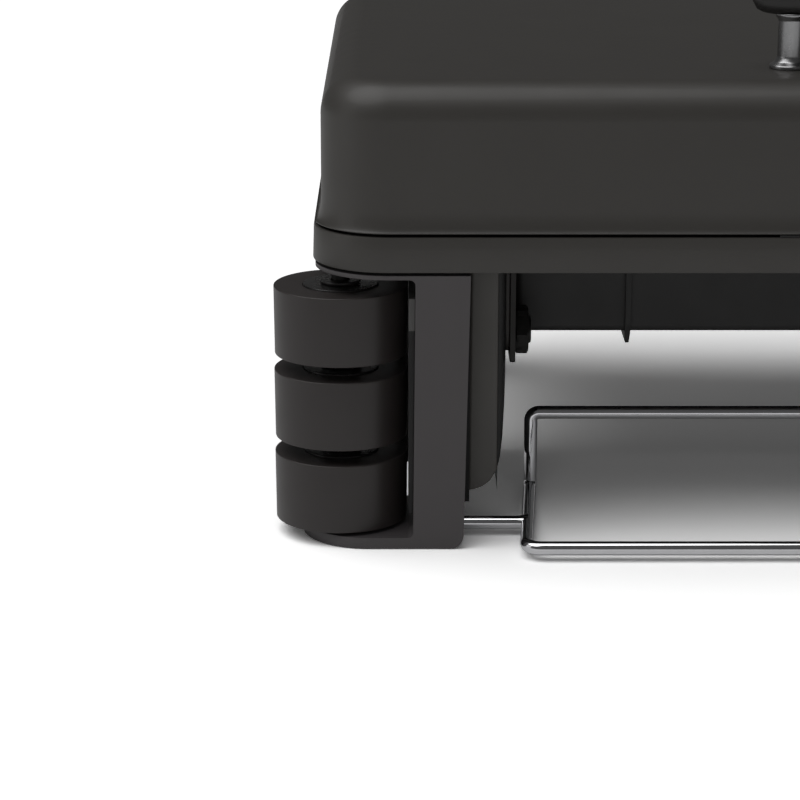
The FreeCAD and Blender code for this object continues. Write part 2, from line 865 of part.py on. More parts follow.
def make_foot_pads():
    """Rubber pads let into the feet."""
    pads = []
    for x, y in front_pad_places() + [rear_pad_place()]:
        pad = post(pad_radius, x, y, 0, pad_height)
        pads.append(pad)
        pads.append(mirrored(pad))
    return Part.makeCompound(pads)


def leg_screw_places():
    """Two screws hold each leg to the band's floor."""
    web_middle = (web_inner_top + web_outer_top) / 2.0
    front_places = [(web_middle, front + leg_screw_inset), (web_middle, front + leg_depth - leg_screw_inset + 2.0)]
    rear_x = rear_leg_inner + rear_leg_width / 2.0
    back = rear - rear_leg_inset
    rear_places = [(rear_x, back - leg_screw_inset + 2.0), (rear_x, back - rear_leg_depth + leg_screw_inset - 2.0)]
    places = []
    for x, y in front_places + rear_places:
        places.append((-x, y))
        places.append((x, y))
    return places


def make_leg_screws():
    """Low-headed screws from inside the band down into the legs."""
    screws = []
    for x, y in leg_screw_places():
        head = post(leg_screw_head_radius, x, y, band_floor_top, band_floor_top + leg_screw_head_height)
        shank = post(leg_screw_radius, x, y, leg_height - leg_screw_depth, band_floor_top)
        screws.append(head.fuse(shank))
    return Part.makeCompound(screws)


def make_leg_gaskets():
    """Thin dark pads between the legs and the band."""
    inset = arm_inset + 2.0
    back = front + leg_depth - 2.0
    points = plan_points(-half_width + inset, -web_inner_top - 2.0, front + inset, back, leg_height)
    radii = [corner_radius - inset, 0, 0, 8.0]
    pad = prism(points, radii, Vector(0, 0, leg_gasket_thickness))
    holes = []
    for x, y in leg_screw_places():
        holes.append(post(leg_screw_radius, x, y, leg_height - cut_margin, band_bottom + cut_margin))
    holes.append(post(spindle_radius, -dial_x, dial_y, leg_height - cut_margin, band_bottom + cut_margin))
    spout_hole = post(
        drain_radius + drain_wall + spacer_gap, drain_x, dial_y, leg_height - cut_margin, band_bottom + cut_margin
    )
    holes.append(spout_hole)
    rear_back = rear - rear_leg_inset - 2.0
    rear_points = plan_points(
        -rear_leg_inner - rear_leg_width + 2.0,
        -rear_leg_inner - 2.0,
        rear_back - rear_leg_depth + 4.0,
        rear_back,
        leg_height,
    )
    rear_pad = prism(rear_points, [rear_leg_corner - 2.0] * 4, Vector(0, 0, leg_gasket_thickness))
    pads = [pad, mirrored(pad), rear_pad, mirrored(rear_pad)]
    return Part.makeCompound([piece.cut(holes) for piece in pads])


# ---------------------------------------------------------------- dials
def dial_stack_height():
    """From the underside of the lowest dial to the top of the highest."""
    return 3.0 * dial_height + 2.0 * dial_gap


def dial_level(index):
    """The underside of a dial, counted from the lowest."""
    return dial_base + index * (dial_height + dial_gap)


def make_dial(index):
    """Grip ring of one dial: slightly drafted, with a crisp small chamfer on its edges."""
    base = dial_level(index)
    low = base + dial_edge
    high = base + dial_height - dial_edge
    profile = [
        Vector(hub_radius + hub_fit, 0, base),
        Vector(dial_radius_low - dial_edge, 0, base),
        Vector(dial_radius_low, 0, low),
        Vector(dial_radius, 0, high),
        Vector(dial_radius - dial_edge, 0, base + dial_height),
        Vector(hub_radius + hub_fit, 0, base + dial_height),
    ]
    grip = Part.Face(outline(profile, [0] * 6)).revolve(Vector(0, 0, 0), Vector(0, 0, 1), 360.0)
    grip.translate(Vector(-dial_x, dial_y, 0))
    return grip


def make_dial_hub(index):
    """Bearing hub of one dial, a little proud of the grip's top."""
    base = dial_level(index)
    return ring(hub_radius, spindle_radius + spindle_fit, -dial_x, dial_y, base, base + dial_height + hub_proud)


def make_dial_spindle():
    """Upright rod through the dials, seated in the foot and bolted to the band's floor."""
    top = band_floor_top + nut_height_small + spacer_gap
    return post(spindle_radius, -dial_x, dial_y, foot_thickness - spindle_seat, top)


def make_spindle_nut():
    """Nut on the spindle's upper end, inside the band."""
    nut = hexagon(nut_flats_small, 0, nut_height_small, 0, 0)
    nut.rotate(Vector(0, 0, 0), Vector(0, 1, 0), -90.0)
    nut.translate(Vector(-dial_x, dial_y, band_floor_top))
    hole = post(spindle_radius, -dial_x, dial_y, band_floor_top - cut_margin, band_floor_top + nut_height_small * 2.0)
    return nut.cut(hole)


def make_spindle_spacers():
    """Fixed rings on the spindle that keep the dials apart, and the washers at both ends."""
    bore = spindle_radius + spindle_fit
    rings = [ring(spacer_radius, bore, -dial_x, dial_y, foot_thickness, dial_base - spacer_gap)]
    for index in range(2):
        low = dial_level(index) + dial_height + hub_proud + spacer_gap
        rings.append(ring(spacer_radius, bore, -dial_x, dial_y, low, dial_level(index + 1) - spacer_gap))
    low = dial_level(2) + dial_height + hub_proud + spacer_gap
    rings.append(ring(spacer_radius, bore, -dial_x, dial_y, low, low + top_washer_height))
    return Part.makeCompound(rings)


def strip_screw_heights():
    """The sensor strip is held near its two ends."""
    return [strip_bottom + strip_screw_inset, strip_top - strip_screw_inset]


def strip_face_x():
    """The face of the sensor strip that looks at the dials."""
    return -web_outer_bottom - strip_thickness + pod_leg_gap


def make_sensor_strip():
    """Thin cover on the bay's wall that holds the dials' position sensors."""
    face = strip_face_x()
    half = strip_width / 2.0
    points = [
        Vector(face, dial_y - half, strip_bottom),
        Vector(face, dial_y - half, strip_top),
        Vector(web_face_x(strip_top), dial_y - half, strip_top),
        Vector(web_face_x(strip_bottom), dial_y - half, strip_bottom),
    ]
    strip = prism(points, [0] * 4, Vector(0, strip_width, 0))
    cuts = []
    for z in strip_screw_heights():
        start = Vector(face - cut_margin, dial_y, z)
        cuts.append(rod(strip_screw_radius, start, Vector(-web_outer_top, dial_y, z)))
        cuts.append(rod(strip_screw_head_radius, start, Vector(face + strip_screw_head_height, dial_y, z)))
    return strip.cut(cuts)


def web_face_x(z):
    """The bay's wall leans: its X at a height."""
    share = (z - foot_thickness) / (leg_height - arm_thickness - foot_thickness)
    return -(web_outer_bottom + (web_outer_top - web_outer_bottom) * share)


def make_strip_screws():
    """Flush screws of the sensor strip."""
    screws = []
    face = strip_face_x()
    for z in strip_screw_heights():
        start = Vector(face + spindle_fit, dial_y, z)
        neck = Vector(face + strip_screw_head_height, dial_y, z)
        end = Vector(-web_outer_top + strip_screw_depth, dial_y, z)
        screws.append(rod(strip_screw_head_radius, start, neck).fuse(rod(strip_screw_radius, neck, end)))
    return Part.makeCompound(screws)


# ---------------------------------------------------------------- pods
def pod_plan(inset, outer_x, inner_x, z0, z1):
    """Plan of a pod: a slim tongue beside the leg's web and a wider box behind the leg."""
    points = [
        Vector(-pod_tongue_outer + inset, pod_front + inset, z0),
        Vector(inner_x, pod_front + inset, z0),
        Vector(inner_x, pod_rear - inset, z0),
        Vector(outer_x + inset, pod_rear - inset, z0),
        Vector(outer_x + inset, pod_step + inset, z0),
        Vector(-pod_tongue_outer + inset, pod_step + inset, z0),
    ]
    soft = max(pod_edge_radius - inset, 1.0)
    return prism(points, [0, soft, soft, soft, soft, 0], Vector(0, 0, z1 - z0))


def pod_side(inset, bottom, top):
    """Front view of a pod, with its lower corners rounded."""
    x_outer = -pod_outer + inset
    x_inner = -pod_inner + pod_cover_thickness
    points = [
        Vector(x_outer, front, bottom),
        Vector(x_inner, front, bottom),
        Vector(x_inner, front, top),
        Vector(x_outer, front, top),
    ]
    lower = pod_corner - inset
    return prism(points, [lower, lower, 0, 0], Vector(0, pod_rear_setback + cut_margin, 0))


def make_pod_block():
    """Outer form of the left pod with its cover on, before it is hollowed."""
    plan = pod_plan(0, -pod_outer, -pod_inner + pod_cover_thickness, pod_bottom, band_bottom)
    return plan.common(pod_side(0, pod_bottom, band_bottom))


def make_pod_shell():
    """Hollow pod housing, open towards the middle of the body, where its cover closes it."""
    keep = box(-pod_outer, -pod_inner, front, pod_rear + cut_margin, 0, band_bottom)
    block = make_pod_block().common(keep)
    hollow_plan = pod_plan(pod_wall, -pod_outer, -pod_inner + cut_margin, pod_bottom, band_bottom - pod_wall)
    hollow = hollow_plan.common(pod_side(pod_wall, pod_bottom + pod_wall, band_bottom - pod_wall))
    bolt_wall = rod(
        pod_boss_radius,
        Vector(-pod_tongue_outer, pod_bolt_y, pod_bolt_height),
        Vector(-pod_inner, pod_bolt_y, pod_bolt_height),
    )
    bolt_hole = pod_bolt_hole()
    return block.cut(hollow.cut(bolt_wall)).cut(bolt_hole)


def pod_bolt_hole():
    """Clearance hole for the pod's bolt."""
    return rod(
        pod_bolt_radius + pod_bolt_clearance,
        Vector(-web_outer_bottom, pod_bolt_y, pod_bolt_height),
        Vector(-pod_inner + pod_cover_thickness + cut_margin, pod_bolt_y, pod_bolt_height),
    )


def make_pod_cover():
    """Dark plate that closes the pod on its inner side."""
    keep = box(-pod_inner, 0, front, pod_rear + cut_margin, 0, band_bottom)
    return make_pod_block().common(keep).cut(pod_bolt_hole())


def make_pod_gasket():
    """Tapered packing between the leaning web and the upright pod."""
    low = pod_bottom - 4.0
    share = low / leg_height
    web_low = -(web_inner_bottom + (web_inner_top - web_inner_bottom) * share)
    back = front + leg_depth - 2.0
    start = pod_front - 4.0
    points = [
        Vector(web_low, start, low),
        Vector(-pod_tongue_outer, start, low),
        Vector(-pod_tongue_outer, start, leg_height),
        Vector(-web_inner_top, start, leg_height),
    ]
    gasket = prism(points, [0] * 4, Vector(0, back - start, 0))
    return gasket.cut(pod_bolt_hole())


def pod_stack():
    """X limits of the lug, strap and nut on the inner side of the pod."""
    lug = -pod_inner + pod_cover_thickness
    strap = lug + pod_lug_thickness
    nut = strap + pod_strap_thickness
    end = nut + pod_nut_height
    return lug, strap, nut, end


def along_x(radius, x0, x1):
    """A round bar on the pod bolt's axis."""
    return rod(radius, Vector(x0, pod_bolt_y, pod_bolt_height), Vector(x1, pod_bolt_y, pod_bolt_height))


def make_pod_bolt():
    """Bolt through the web, the pod and its cover, its head sunk in the bay's wall."""
    lug, strap, nut, end = pod_stack()
    head_low = -web_outer_top + spacer_gap
    head_high = -web_outer_top + pod_bolt_head_depth
    head = along_x(pod_bolt_head_radius, head_low, head_high)
    return head.fuse(along_x(pod_bolt_radius, head_high, end + pod_bolt_stickout))


def make_pod_lug():
    """Lug that hangs from the body's floor, rounded below round the bolt."""
    lug, strap, nut, end = pod_stack()
    hole = along_x(pod_bolt_radius + pod_bolt_clearance, lug - cut_margin, strap + cut_margin)
    plate = box(lug, strap, pod_bolt_y - pod_lug_radius, pod_bolt_y + pod_lug_radius, pod_bolt_height, band_bottom)
    return along_x(pod_lug_radius, lug, strap).fuse(plate).cut(hole).removeSplitter()


def make_pod_strap():
    """Flat strap that hangs from the body's floor behind the nut, square below."""
    lug, strap, nut, end = pod_stack()
    hole = along_x(pod_bolt_radius + pod_bolt_clearance, strap - cut_margin, nut + cut_margin)
    low = band_bottom - pod_strap_drop
    points = [
        Vector(strap, pod_bolt_y - pod_strap_front, low),
        Vector(strap, pod_bolt_y + pod_strap_rear, low),
        Vector(strap, pod_bolt_y + pod_strap_rear, band_bottom),
        Vector(strap, pod_bolt_y - pod_strap_front, band_bottom),
    ]
    radii = [pod_strap_corner, pod_strap_corner, 0, 0]
    return prism(points, radii, Vector(pod_strap_thickness, 0, 0)).cut(hole)


def make_pod_nut():
    """Thin hexagon nut with flats at the top and bottom."""
    lug, strap, nut, end = pod_stack()
    hole = along_x(pod_bolt_radius, nut - cut_margin, end + cut_margin)
    return hexagon(pod_nut_flats, nut, end, pod_bolt_y, pod_bolt_height).cut(hole)


def make_control_board():
    """Circuit board in the left pod with its two relays, held in slots of the outer wall."""
    middle_y = (pod_step + pod_rear) / 2.0
    middle_z = (pod_bottom + band_bottom) / 2.0
    board = box(-board_x - board_thickness, -board_x, middle_y - board_length / 2.0, middle_y + board_length / 2.0,
                middle_z - board_height / 2.0, middle_z + board_height / 2.0)
    solids = [board]
    for step in (-1, 1):
        y = middle_y + step * relay_size
        half = relay_size / 2.0 - cut_margin
        solids.append(box(-board_x, -board_x + relay_size, y - half, y + half, middle_z, middle_z + relay_size))
        rail_y = middle_y + step * board_length / 2.0
        inner_wall = -pod_outer + pod_wall
        solids.append(box(inner_wall, -board_x - board_thickness, rail_y - step * 6.0 - 2.0, rail_y - step * 6.0 + 2.0,
                          middle_z - board_height / 2.0, middle_z + board_height / 2.0))
    return Part.makeCompound(solids)


# ---------------------------------------------------------------- switch and inlet
def rocker_axis():
    """Centre of the rocker's pivot on the right pod's outer wall."""
    return Vector(pod_outer - rocker_centre_depth, front + rocker_setback, rocker_height)


def rocker_bar(radius, length):
    """A round bar on the rocker's pivot axis."""
    centre = rocker_axis()
    half = Vector(0, length / 2.0, 0)
    return rod(radius, centre.sub(half), centre.add(half))


def make_power_rocker():
    """Rocker with a shallow V face, shown with its lower half pressed in."""
    centre = rocker_axis()
    drum = rocker_bar(rocker_radius, rocker_length)
    face = centre.x + rocker_centre_depth + spacer_gap
    slope = math.tan(math.radians(rocker_tilt)) * rocker_radius
    points = [
        Vector(face, centre.y - rocker_length, centre.z),
        Vector(face + slope, centre.y - rocker_length, centre.z + rocker_radius + cut_margin),
        Vector(face + rocker_radius * 2.0, centre.y - rocker_length, centre.z + rocker_radius + cut_margin),
        Vector(face + rocker_radius * 2.0, centre.y - rocker_length, centre.z - rocker_radius - cut_margin),
        Vector(face + slope, centre.y - rocker_length, centre.z - rocker_radius - cut_margin),
    ]
    cut = prism(points, [0] * 5, Vector(0, rocker_length * 2.0, 0))
    rocker = drum.cut(cut)
    rocker.rotate(centre, Vector(0, 1, 0), rocker_tilt)
    return rocker


def make_switch_housing():
    """Switch body behind the pod's wall, with a round pocket for the rocker."""
    centre = rocker_axis()
    half_z = rocker_radius + rocker_gap + switch_wall
    half_y = rocker_length / 2.0 + rocker_gap + switch_wall
    block = box(centre.x - half_z, pod_outer, centre.y - half_y, centre.y + half_y, centre.z - half_z,
                centre.z + half_z)
    flange = box(pod_outer, pod_outer + inlet_flange_thickness, centre.y - half_y - switch_wall,
                 centre.y + half_y + switch_wall, centre.z - half_z - switch_wall, centre.z + half_z + switch_wall)
    pocket = rocker_bar(rocker_radius + rocker_gap, rocker_length + 2.0 * rocker_gap)
    mouth = box(centre.x, pod_outer + inlet_flange_thickness + cut_margin,
                centre.y - rocker_length / 2.0 - rocker_gap, centre.y + rocker_length / 2.0 + rocker_gap,
                centre.z - rocker_radius - rocker_gap, centre.z + rocker_radius + rocker_gap)
    return block.fuse(flange).cut([pocket, mouth]).removeSplitter()


def inlet_centre_x():
    """The inlet sits in the middle of the right pod's back wall."""
    return (pod_outer + pod_inner) / 2.0


def make_inlet_socket():
    """Appliance inlet in the right pod's back wall, open towards the rear."""
    x = inlet_centre_x()
    half_x = inlet_width / 2.0
    half_z = inlet_height / 2.0
    z = inlet_centre_height
    body = box(x - half_x, x + half_x, pod_rear - inlet_depth, pod_rear, z - half_z, z + half_z)
    flange = box(x - half_x - inlet_flange, x + half_x + inlet_flange, pod_rear, pod_rear + inlet_flange_thickness,
                 z - half_z - inlet_flange, z + half_z + inlet_flange)
    mouth = pod_rear + inlet_flange_thickness
    cavity = box(x - half_x + inlet_wall, x + half_x - inlet_wall, mouth - inlet_cavity_depth, mouth + cut_margin,
                 z - half_z + inlet_wall, z + half_z - inlet_wall)
    return body.fuse(flange).cut(cavity).removeSplitter()


def make_inlet_pins():
    """Three flat contact pins on the floor of the inlet."""
    x = inlet_centre_x()
    floor = pod_rear + inlet_flange_thickness - inlet_cavity_depth
    pins = []
    for dx, dz in ((-inlet_pin_pitch / 2.0, inlet_pin_pitch), (inlet_pin_pitch / 2.0, 0.0),
                   (-inlet_pin_pitch / 2.0, -inlet_pin_pitch)):
        centre_x = x + dx
        z = inlet_centre_height + dz
        pins.append(box(centre_x - inlet_pin_width / 2.0, centre_x + inlet_pin_width / 2.0, floor,
                        floor + inlet_pin_length, z - inlet_pin_height / 2.0, z + inlet_pin_height / 2.0))
    return Part.makeCompound(pins)


def make_power_pod():
    """Right pod housing, opened for the switch and the inlet."""
    shell = mirrored(make_pod_shell())
    centre = rocker_axis()
    half_z = rocker_radius + rocker_gap + switch_wall
    half_y = rocker_length / 2.0 + rocker_gap + switch_wall
    switch_hole = box(pod_outer - pod_wall - cut_margin, pod_outer + cut_margin, centre.y - half_y, centre.y + half_y,
                      centre.z - half_z, centre.z + half_z)
    x = inlet_centre_x()
    inlet_hole = box(x - inlet_width / 2.0, x + inlet_width / 2.0, pod_rear - pod_wall - cut_margin,
                     pod_rear + cut_margin, inlet_centre_height - inlet_height / 2.0,
                     inlet_centre_height + inlet_height / 2.0)
    return shell.cut([switch_hole, inlet_hole])


# ---------------------------------------------------------------- rack
def make_wire_rack():
    """Welded wire rack: a low loop in front, uprights behind and a stub into each leg."""
    low_front = front - rack_front_overhang
    back = front + rack_back_setback
    points = [
        Vector(-rack_front_half, low_front, rack_low),
        Vector(rack_front_half, low_front, rack_low),
        Vector(rack_back_half, back, rack_low),
        Vector(rack_back_half, back, rack_high),
        Vector(-rack_back_half, back, rack_high),
        Vector(-rack_back_half, back, rack_low),
    ]
    loop = bent_rod(points, rack_bend, wire_radius, True)
    share = (stub_setback + rack_front_overhang) / (rack_back_setback + rack_front_overhang)
    rod_x = rack_front_half + (rack_back_half - rack_front_half) * share
    stub_end = web_inner_bottom + stub_depth
    stub = rod(
        wire_radius,
        Vector(-stub_end, front + stub_setback, rack_low),
        Vector(-rod_x, front + stub_setback, rack_low),
    )
    return loop.fuse([stub, mirrored(stub)])


# ---------------------------------------------------------------- grease cup
def make_grease_cup():
    """Deep round cup with two grooves level with the gaps between the dials."""
    base = foot_thickness + cup_foot_gap
    top = dial_base + dial_stack_height()
    cup = post(dial_radius, dial_x, dial_y, base, top)
    hollow = post(dial_radius - cup_wall, dial_x, dial_y, base + cup_floor, top + cut_margin)
    cup = cup.cut(hollow)
    for index in range(2):
        low = dial_level(index) + dial_height
        groove = ring(dial_radius + cut_margin, dial_radius - cup_groove, dial_x, dial_y, low, low + dial_gap / 2.0)
        cup = cup.cut(groove)
    return cup


# ---------------------------------------------------------------- lid
def lid_form(half_x, half_y, radius, flare, top_radius, z_bottom, z_top):
    """Closed lid form: an upright wall that flares out towards its lower edge."""
    steps = 5
    wires = []
    for step in range(steps + 1):
        share = step / float(steps)
        spread = flare * (1.0 - math.sin(share * math.pi / 2.0))
        z = z_bottom + lid_flare_height * share
        points = plan_points(-half_x - spread, half_x + spread, -half_y - spread, half_y + spread, z)
        wires.append(outline(points, [radius + spread] * 4))
    skirt = Part.makeLoft(wires, True, True)
    body = slab(half_x, half_y, radius, z_bottom + lid_flare_height, z_top)
    top_edges = [edge for edge in body.Edges if edge.BoundBox.ZMin > z_top - cut_margin]
    body = body.makeFillet(top_radius, top_edges)
    return skirt.fuse(body)


def make_lid_shell():
    """Drawn lid shell with a flared rim, drilled for the handle's screws."""
    half_x = half_width - lid_inset
    half_y = half_depth - lid_inset
    radius = corner_radius - lid_inset
    flare = lid_inset - lid_rim_inset
    outer = lid_form(half_x, half_y, radius, flare, lid_top_radius, lid_bottom, lid_top)
    inner = lid_form(
        half_x - lid_wall,
        half_y - lid_wall,
        radius - lid_wall,
        flare,
        lid_top_radius - lid_wall,
        lid_bottom,
        lid_top - lid_wall,
    )
    shell = outer.cut(inner)
    holes = []
    for x, y in handle_places():
        holes.append(post(handle_screw_radius, x, y, lid_top - lid_wall - cut_margin, lid_top + cut_margin))
    return shell.cut(holes)


def make_lid_liner():
    """Thin inner tray of the lid, seated on the shell's wall by its flange."""
    flange_z = lid_bottom + liner_flange_rise + 2.0
    inner_x = half_width - lid_inset - lid_wall
    inner_y = half_depth - lid_inset - lid_wall
    inner_radius = corner_radius - lid_inset - lid_wall
    tray_x = inner_x - liner_air_gap
    tray_y = inner_y - liner_air_gap
    tray_radius = inner_radius - liner_air_gap
    top = lid_top - lid_wall - liner_air_gap - handle_screw_head_height
    tray = slab(tray_x, tray_y, tray_radius, flange_z, top)
    top_edges = [edge for edge in tray.Edges if edge.BoundBox.ZMin > top - cut_margin]
    tray = tray.makeFillet(lid_top_radius - lid_wall, top_edges)
    thin = liner_thickness
    hollow = slab(tray_x - thin, tray_y - thin, tray_radius - thin, flange_z - cut_margin, top - thin)
    hollow_edges = [edge for edge in hollow.Edges if edge.BoundBox.ZMin > top - thin - cut_margin]
    hollow = hollow.makeFillet(lid_top_radius - lid_wall - thin, hollow_edges)
    flange = slab(inner_x, inner_y, inner_radius, flange_z, flange_z + thin)
    return tray.fuse(flange).cut(hollow)


def handle_places():
    """The handle stands on two posts near the front of the lid."""
    y = front + handle_setback
    return [(-handle_post_spacing / 2.0, y), (handle_post_spacing / 2.0, y)]


def make_handle_posts():
    """Metal posts between the lid and the handle bar."""
    posts = []
    for x, y in handle_places():
        posts.append(ring(handle_post_radius, handle_screw_radius, x, y, lid_top, lid_top + handle_post_height))
    return Part.makeCompound(posts)


def make_handle_bar():
    """Grip bar with a rounded section and rounded ends."""
    low = lid_top + handle_post_height
    y = front + handle_setback
    half = handle_bar_width / 2.0
    points = [
        Vector(-handle_length / 2.0, y - half, low),
        Vector(-handle_length / 2.0, y + half, low),
        Vector(-handle_length / 2.0, y + half, low + handle_bar_height),
        Vector(-handle_length / 2.0, y - half, low + handle_bar_height),
    ]
    bar = prism(points, [2.0, 2.0, half - cut_margin, half - cut_margin], Vector(handle_length, 0, 0))
    ends = prism(
        plan_points(-handle_length / 2.0, handle_length / 2.0, y - half, y + half, low),
        [half - cut_margin] * 4,
        Vector(0, 0, handle_bar_height),
    )
    holes = []
    for x, place_y in handle_places():
        holes.append(post(handle_screw_radius, x, place_y, low - cut_margin, low + handle_thread_depth))
    return bar.common(ends).cut(holes)


def make_handle_screws():
    """Screws from inside the lid through the posts into the bar."""
    screws = []
    head_top = lid_top - lid_wall
    for x, y in handle_places():
        head = post(handle_screw_head_radius, x, y, head_top - handle_screw_head_height, head_top)
        shank = post(handle_screw_radius, x, y, head_top, lid_top + handle_post_height + handle_thread_depth)
        screws.append(head.fuse(shank))
    return Part.makeCompound(screws)


# ---------------------------------------------------------------- hinges
def hinge_bar(radius, x0, x1):
    """A round bar on the lid's hinge axis."""
    return rod(radius, Vector(x0, hinge_y, hinge_z), Vector(x1, hinge_y, hinge_z))


def make_hinge_bracket():
    """Left hinge bracket on the band's rear wall, with two knuckles."""
    low = band_bottom + hinge_plate_margin
    high = band_top - hinge_plate_margin
    x0 = -hinge_x - hinge_half_length
    x1 = -hinge_x + hinge_half_length
    plate = box(x0, x1, rear, rear + hinge_plate_thickness, low, high)
    arm_points = [
        Vector(x0, rear, low + 2.0),
        Vector(x0, hinge_y + hinge_knuckle_radius * 0.7, hinge_z - hinge_knuckle_radius * 0.7),
        Vector(x0, hinge_y, hinge_z),
        Vector(x0, hinge_y - hinge_knuckle_radius * 0.7, hinge_z),
        Vector(x0, rear, high),
    ]
    arm = prism(arm_points, [0] * 5, Vector(x1 - x0, 0, 0))
    knuckles = hinge_bar(hinge_knuckle_radius, x0, x1)
    middle = hinge_middle_half + hinge_side_gap
    window = box(-hinge_x - middle, -hinge_x + middle, rear + hinge_plate_thickness,
                 hinge_y + hinge_knuckle_radius + cut_margin, low - cut_margin,
                 hinge_z + hinge_knuckle_radius + cut_margin)
    bore = hinge_bar(hinge_pin_radius + hinge_pin_fit, x0 - cut_margin, x1 + cut_margin)
    return plate.fuse([arm, knuckles]).cut([window, bore]).removeSplitter()


def make_hinge_arm():
    """Left hinge arm on the lid's rear wall, with the middle knuckle."""
    wall = rear - lid_inset
    x0 = -hinge_x - hinge_middle_half
    points = [
        Vector(x0, wall, hinge_z + hinge_arm_low),
        Vector(x0, wall, hinge_z + hinge_arm_top),
        Vector(x0, wall + hinge_arm_thickness, hinge_z + hinge_arm_top),
        Vector(x0, hinge_y + hinge_knuckle_radius * 0.7, hinge_z + hinge_knuckle_radius * 0.7),
        Vector(x0, hinge_y, hinge_z),
        Vector(x0, hinge_y - hinge_knuckle_radius, hinge_z),
    ]
    length = 2.0 * hinge_middle_half
    arm = prism(points, [0] * 6, Vector(length, 0, 0))
    knuckle = hinge_bar(hinge_knuckle_radius, x0, x0 + length)
    bore = hinge_bar(hinge_pin_radius + hinge_pin_fit, x0 - cut_margin, x0 + length + cut_margin)
    return arm.fuse(knuckle).cut(bore).removeSplitter()


def make_hinge_pin():
    """Left hinge pin with a flat head at its outer end."""
    x0 = -hinge_x - hinge_half_length
    x1 = -hinge_x + hinge_half_length
    head = hinge_bar(hinge_pin_head_radius, x0 - hinge_pin_head_height, x0)
    return head.fuse(hinge_bar(hinge_pin_radius, x0, x1 + hinge_pin_head_height))


def make_lid_bumpers():
    """Small rubber strips on the band's top edge that the closed lid rests on."""
    y = half_depth - band_draft - band_wall / 2.0
    top = lid_bottom - bumper_gap
    pads = []
    for centre_x, side in ((bumper_x_front, -1), (bumper_x_rear, 1)):
        for x in (-centre_x, centre_x):
            middle_y = side * y
            pads.append(box(x - bumper_length / 2.0, x + bumper_length / 2.0, middle_y - bumper_width / 2.0,
                            middle_y + bumper_width / 2.0, band_top, top))
    return Part.makeCompound(pads)


def pair(shape):
    """A left-hand piece and its right-hand twin as one group."""
    return Part.makeCompound([shape, mirrored(shape)])


def build():
    """Every node of the assembly, by name."""
    nodes = {
        "base_band": make_base_band(),
        "belly_pan": make_belly_pan(),
        "pan_ribs": make_pan_ribs(),
        "pan_screws": make_pan_screws(),
        "heat_reflector": make_heat_reflector(),
        "heating_element_left": make_heating_element(),
        "heating_element_right": mirrored(make_heating_element()),
        "element_clips": make_element_clips(),
        "terminal_pins": make_terminal_pins(),
        "terminal_bushes": make_terminal_bushes(),
        "thermal_fuse": make_thermal_fuse(),
        "temperature_sensors": make_temperature_sensors(),
        "cooking_plate": make_cooking_plate(),
        "plate_gasket": make_plate_gasket(),
        "plate_screws": make_plate_screws(),
        "drain_spout": make_drain_spout(),
        "front_leg_left": make_dial_side_leg(),
        "front_leg_right": make_cup_side_leg(),
        "rear_leg_left": make_rear_leg(),
        "rear_leg_right": mirrored(make_rear_leg()),
        "foot_pads": make_foot_pads(),
        "leg_gaskets": make_leg_gaskets(),
        "leg_screws": make_leg_screws(),
        "dial_spindle": make_dial_spindle(),
        "spindle_nut": make_spindle_nut(),
        "spindle_spacers": make_spindle_spacers(),
        "sensor_strip": make_sensor_strip(),
        "strip_screws": make_strip_screws(),
        "control_pod": make_pod_shell(),
        "control_pod_cover": make_pod_cover(),
        "power_pod": make_power_pod(),
        "power_pod_cover": mirrored(make_pod_cover()),
        "pod_gaskets": pair(make_pod_gasket()),
        "pod_bolts": pair(make_pod_bolt()),
        "pod_lugs": pair(make_pod_lug()),
        "pod_straps": pair(make_pod_strap()),
        "pod_nuts": pair(make_pod_nut()),
        "control_board": make_control_board(),
        "switch_housing": make_switch_housing(),
        "power_rocker": make_power_rocker(),
        "inlet_socket": make_inlet_socket(),
        "inlet_pins": make_inlet_pins(),
        "wire_rack": make_wire_rack(),
        "grease_cup": make_grease_cup(),
        "lid_shell": make_lid_shell(),
        "lid_liner": make_lid_liner(),
        "handle_posts": make_handle_posts(),
        "handle_bar": make_handle_bar(),
        "handle_screws": make_handle_screws(),
        "hinge_brackets": pair(make_hinge_bracket()),
        "hinge_arms": pair(make_hinge_arm()),
        "hinge_pins": pair(make_hinge_pin()),
        "lid_bumpers": make_lid_bumpers(),
    }
    for index, level in enumerate(("bottom", "middle", "top")):
        nodes["dial_" + level] = make_dial(index)
        nodes["dial_hub_" + level] = make_dial_hub(index)
    return nodes


os.makedirs("parts", exist_ok=True)
for name, shape in build().items():
    shape.exportStep("parts/" + name + ".step")
    print(name, "solids", len(shape.Solids), "valid", shape.isValid(), "volume", round(shape.Volume, 1))
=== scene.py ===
"""Looks of a tabletop electric griddle with a hinged lid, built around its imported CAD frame.

Every length below is in millimetres and is turned to metres by the MM factor. Each sub-assembly is a
class whose fields hold its sizes, with methods that build its meshes and dress them.
"""

import logging
import math
from dataclasses import dataclass, field
from enum import Enum
from typing import Any, Callable, Iterable, Sequence

import bmesh
import bpy
from mathutils import Matrix, Vector


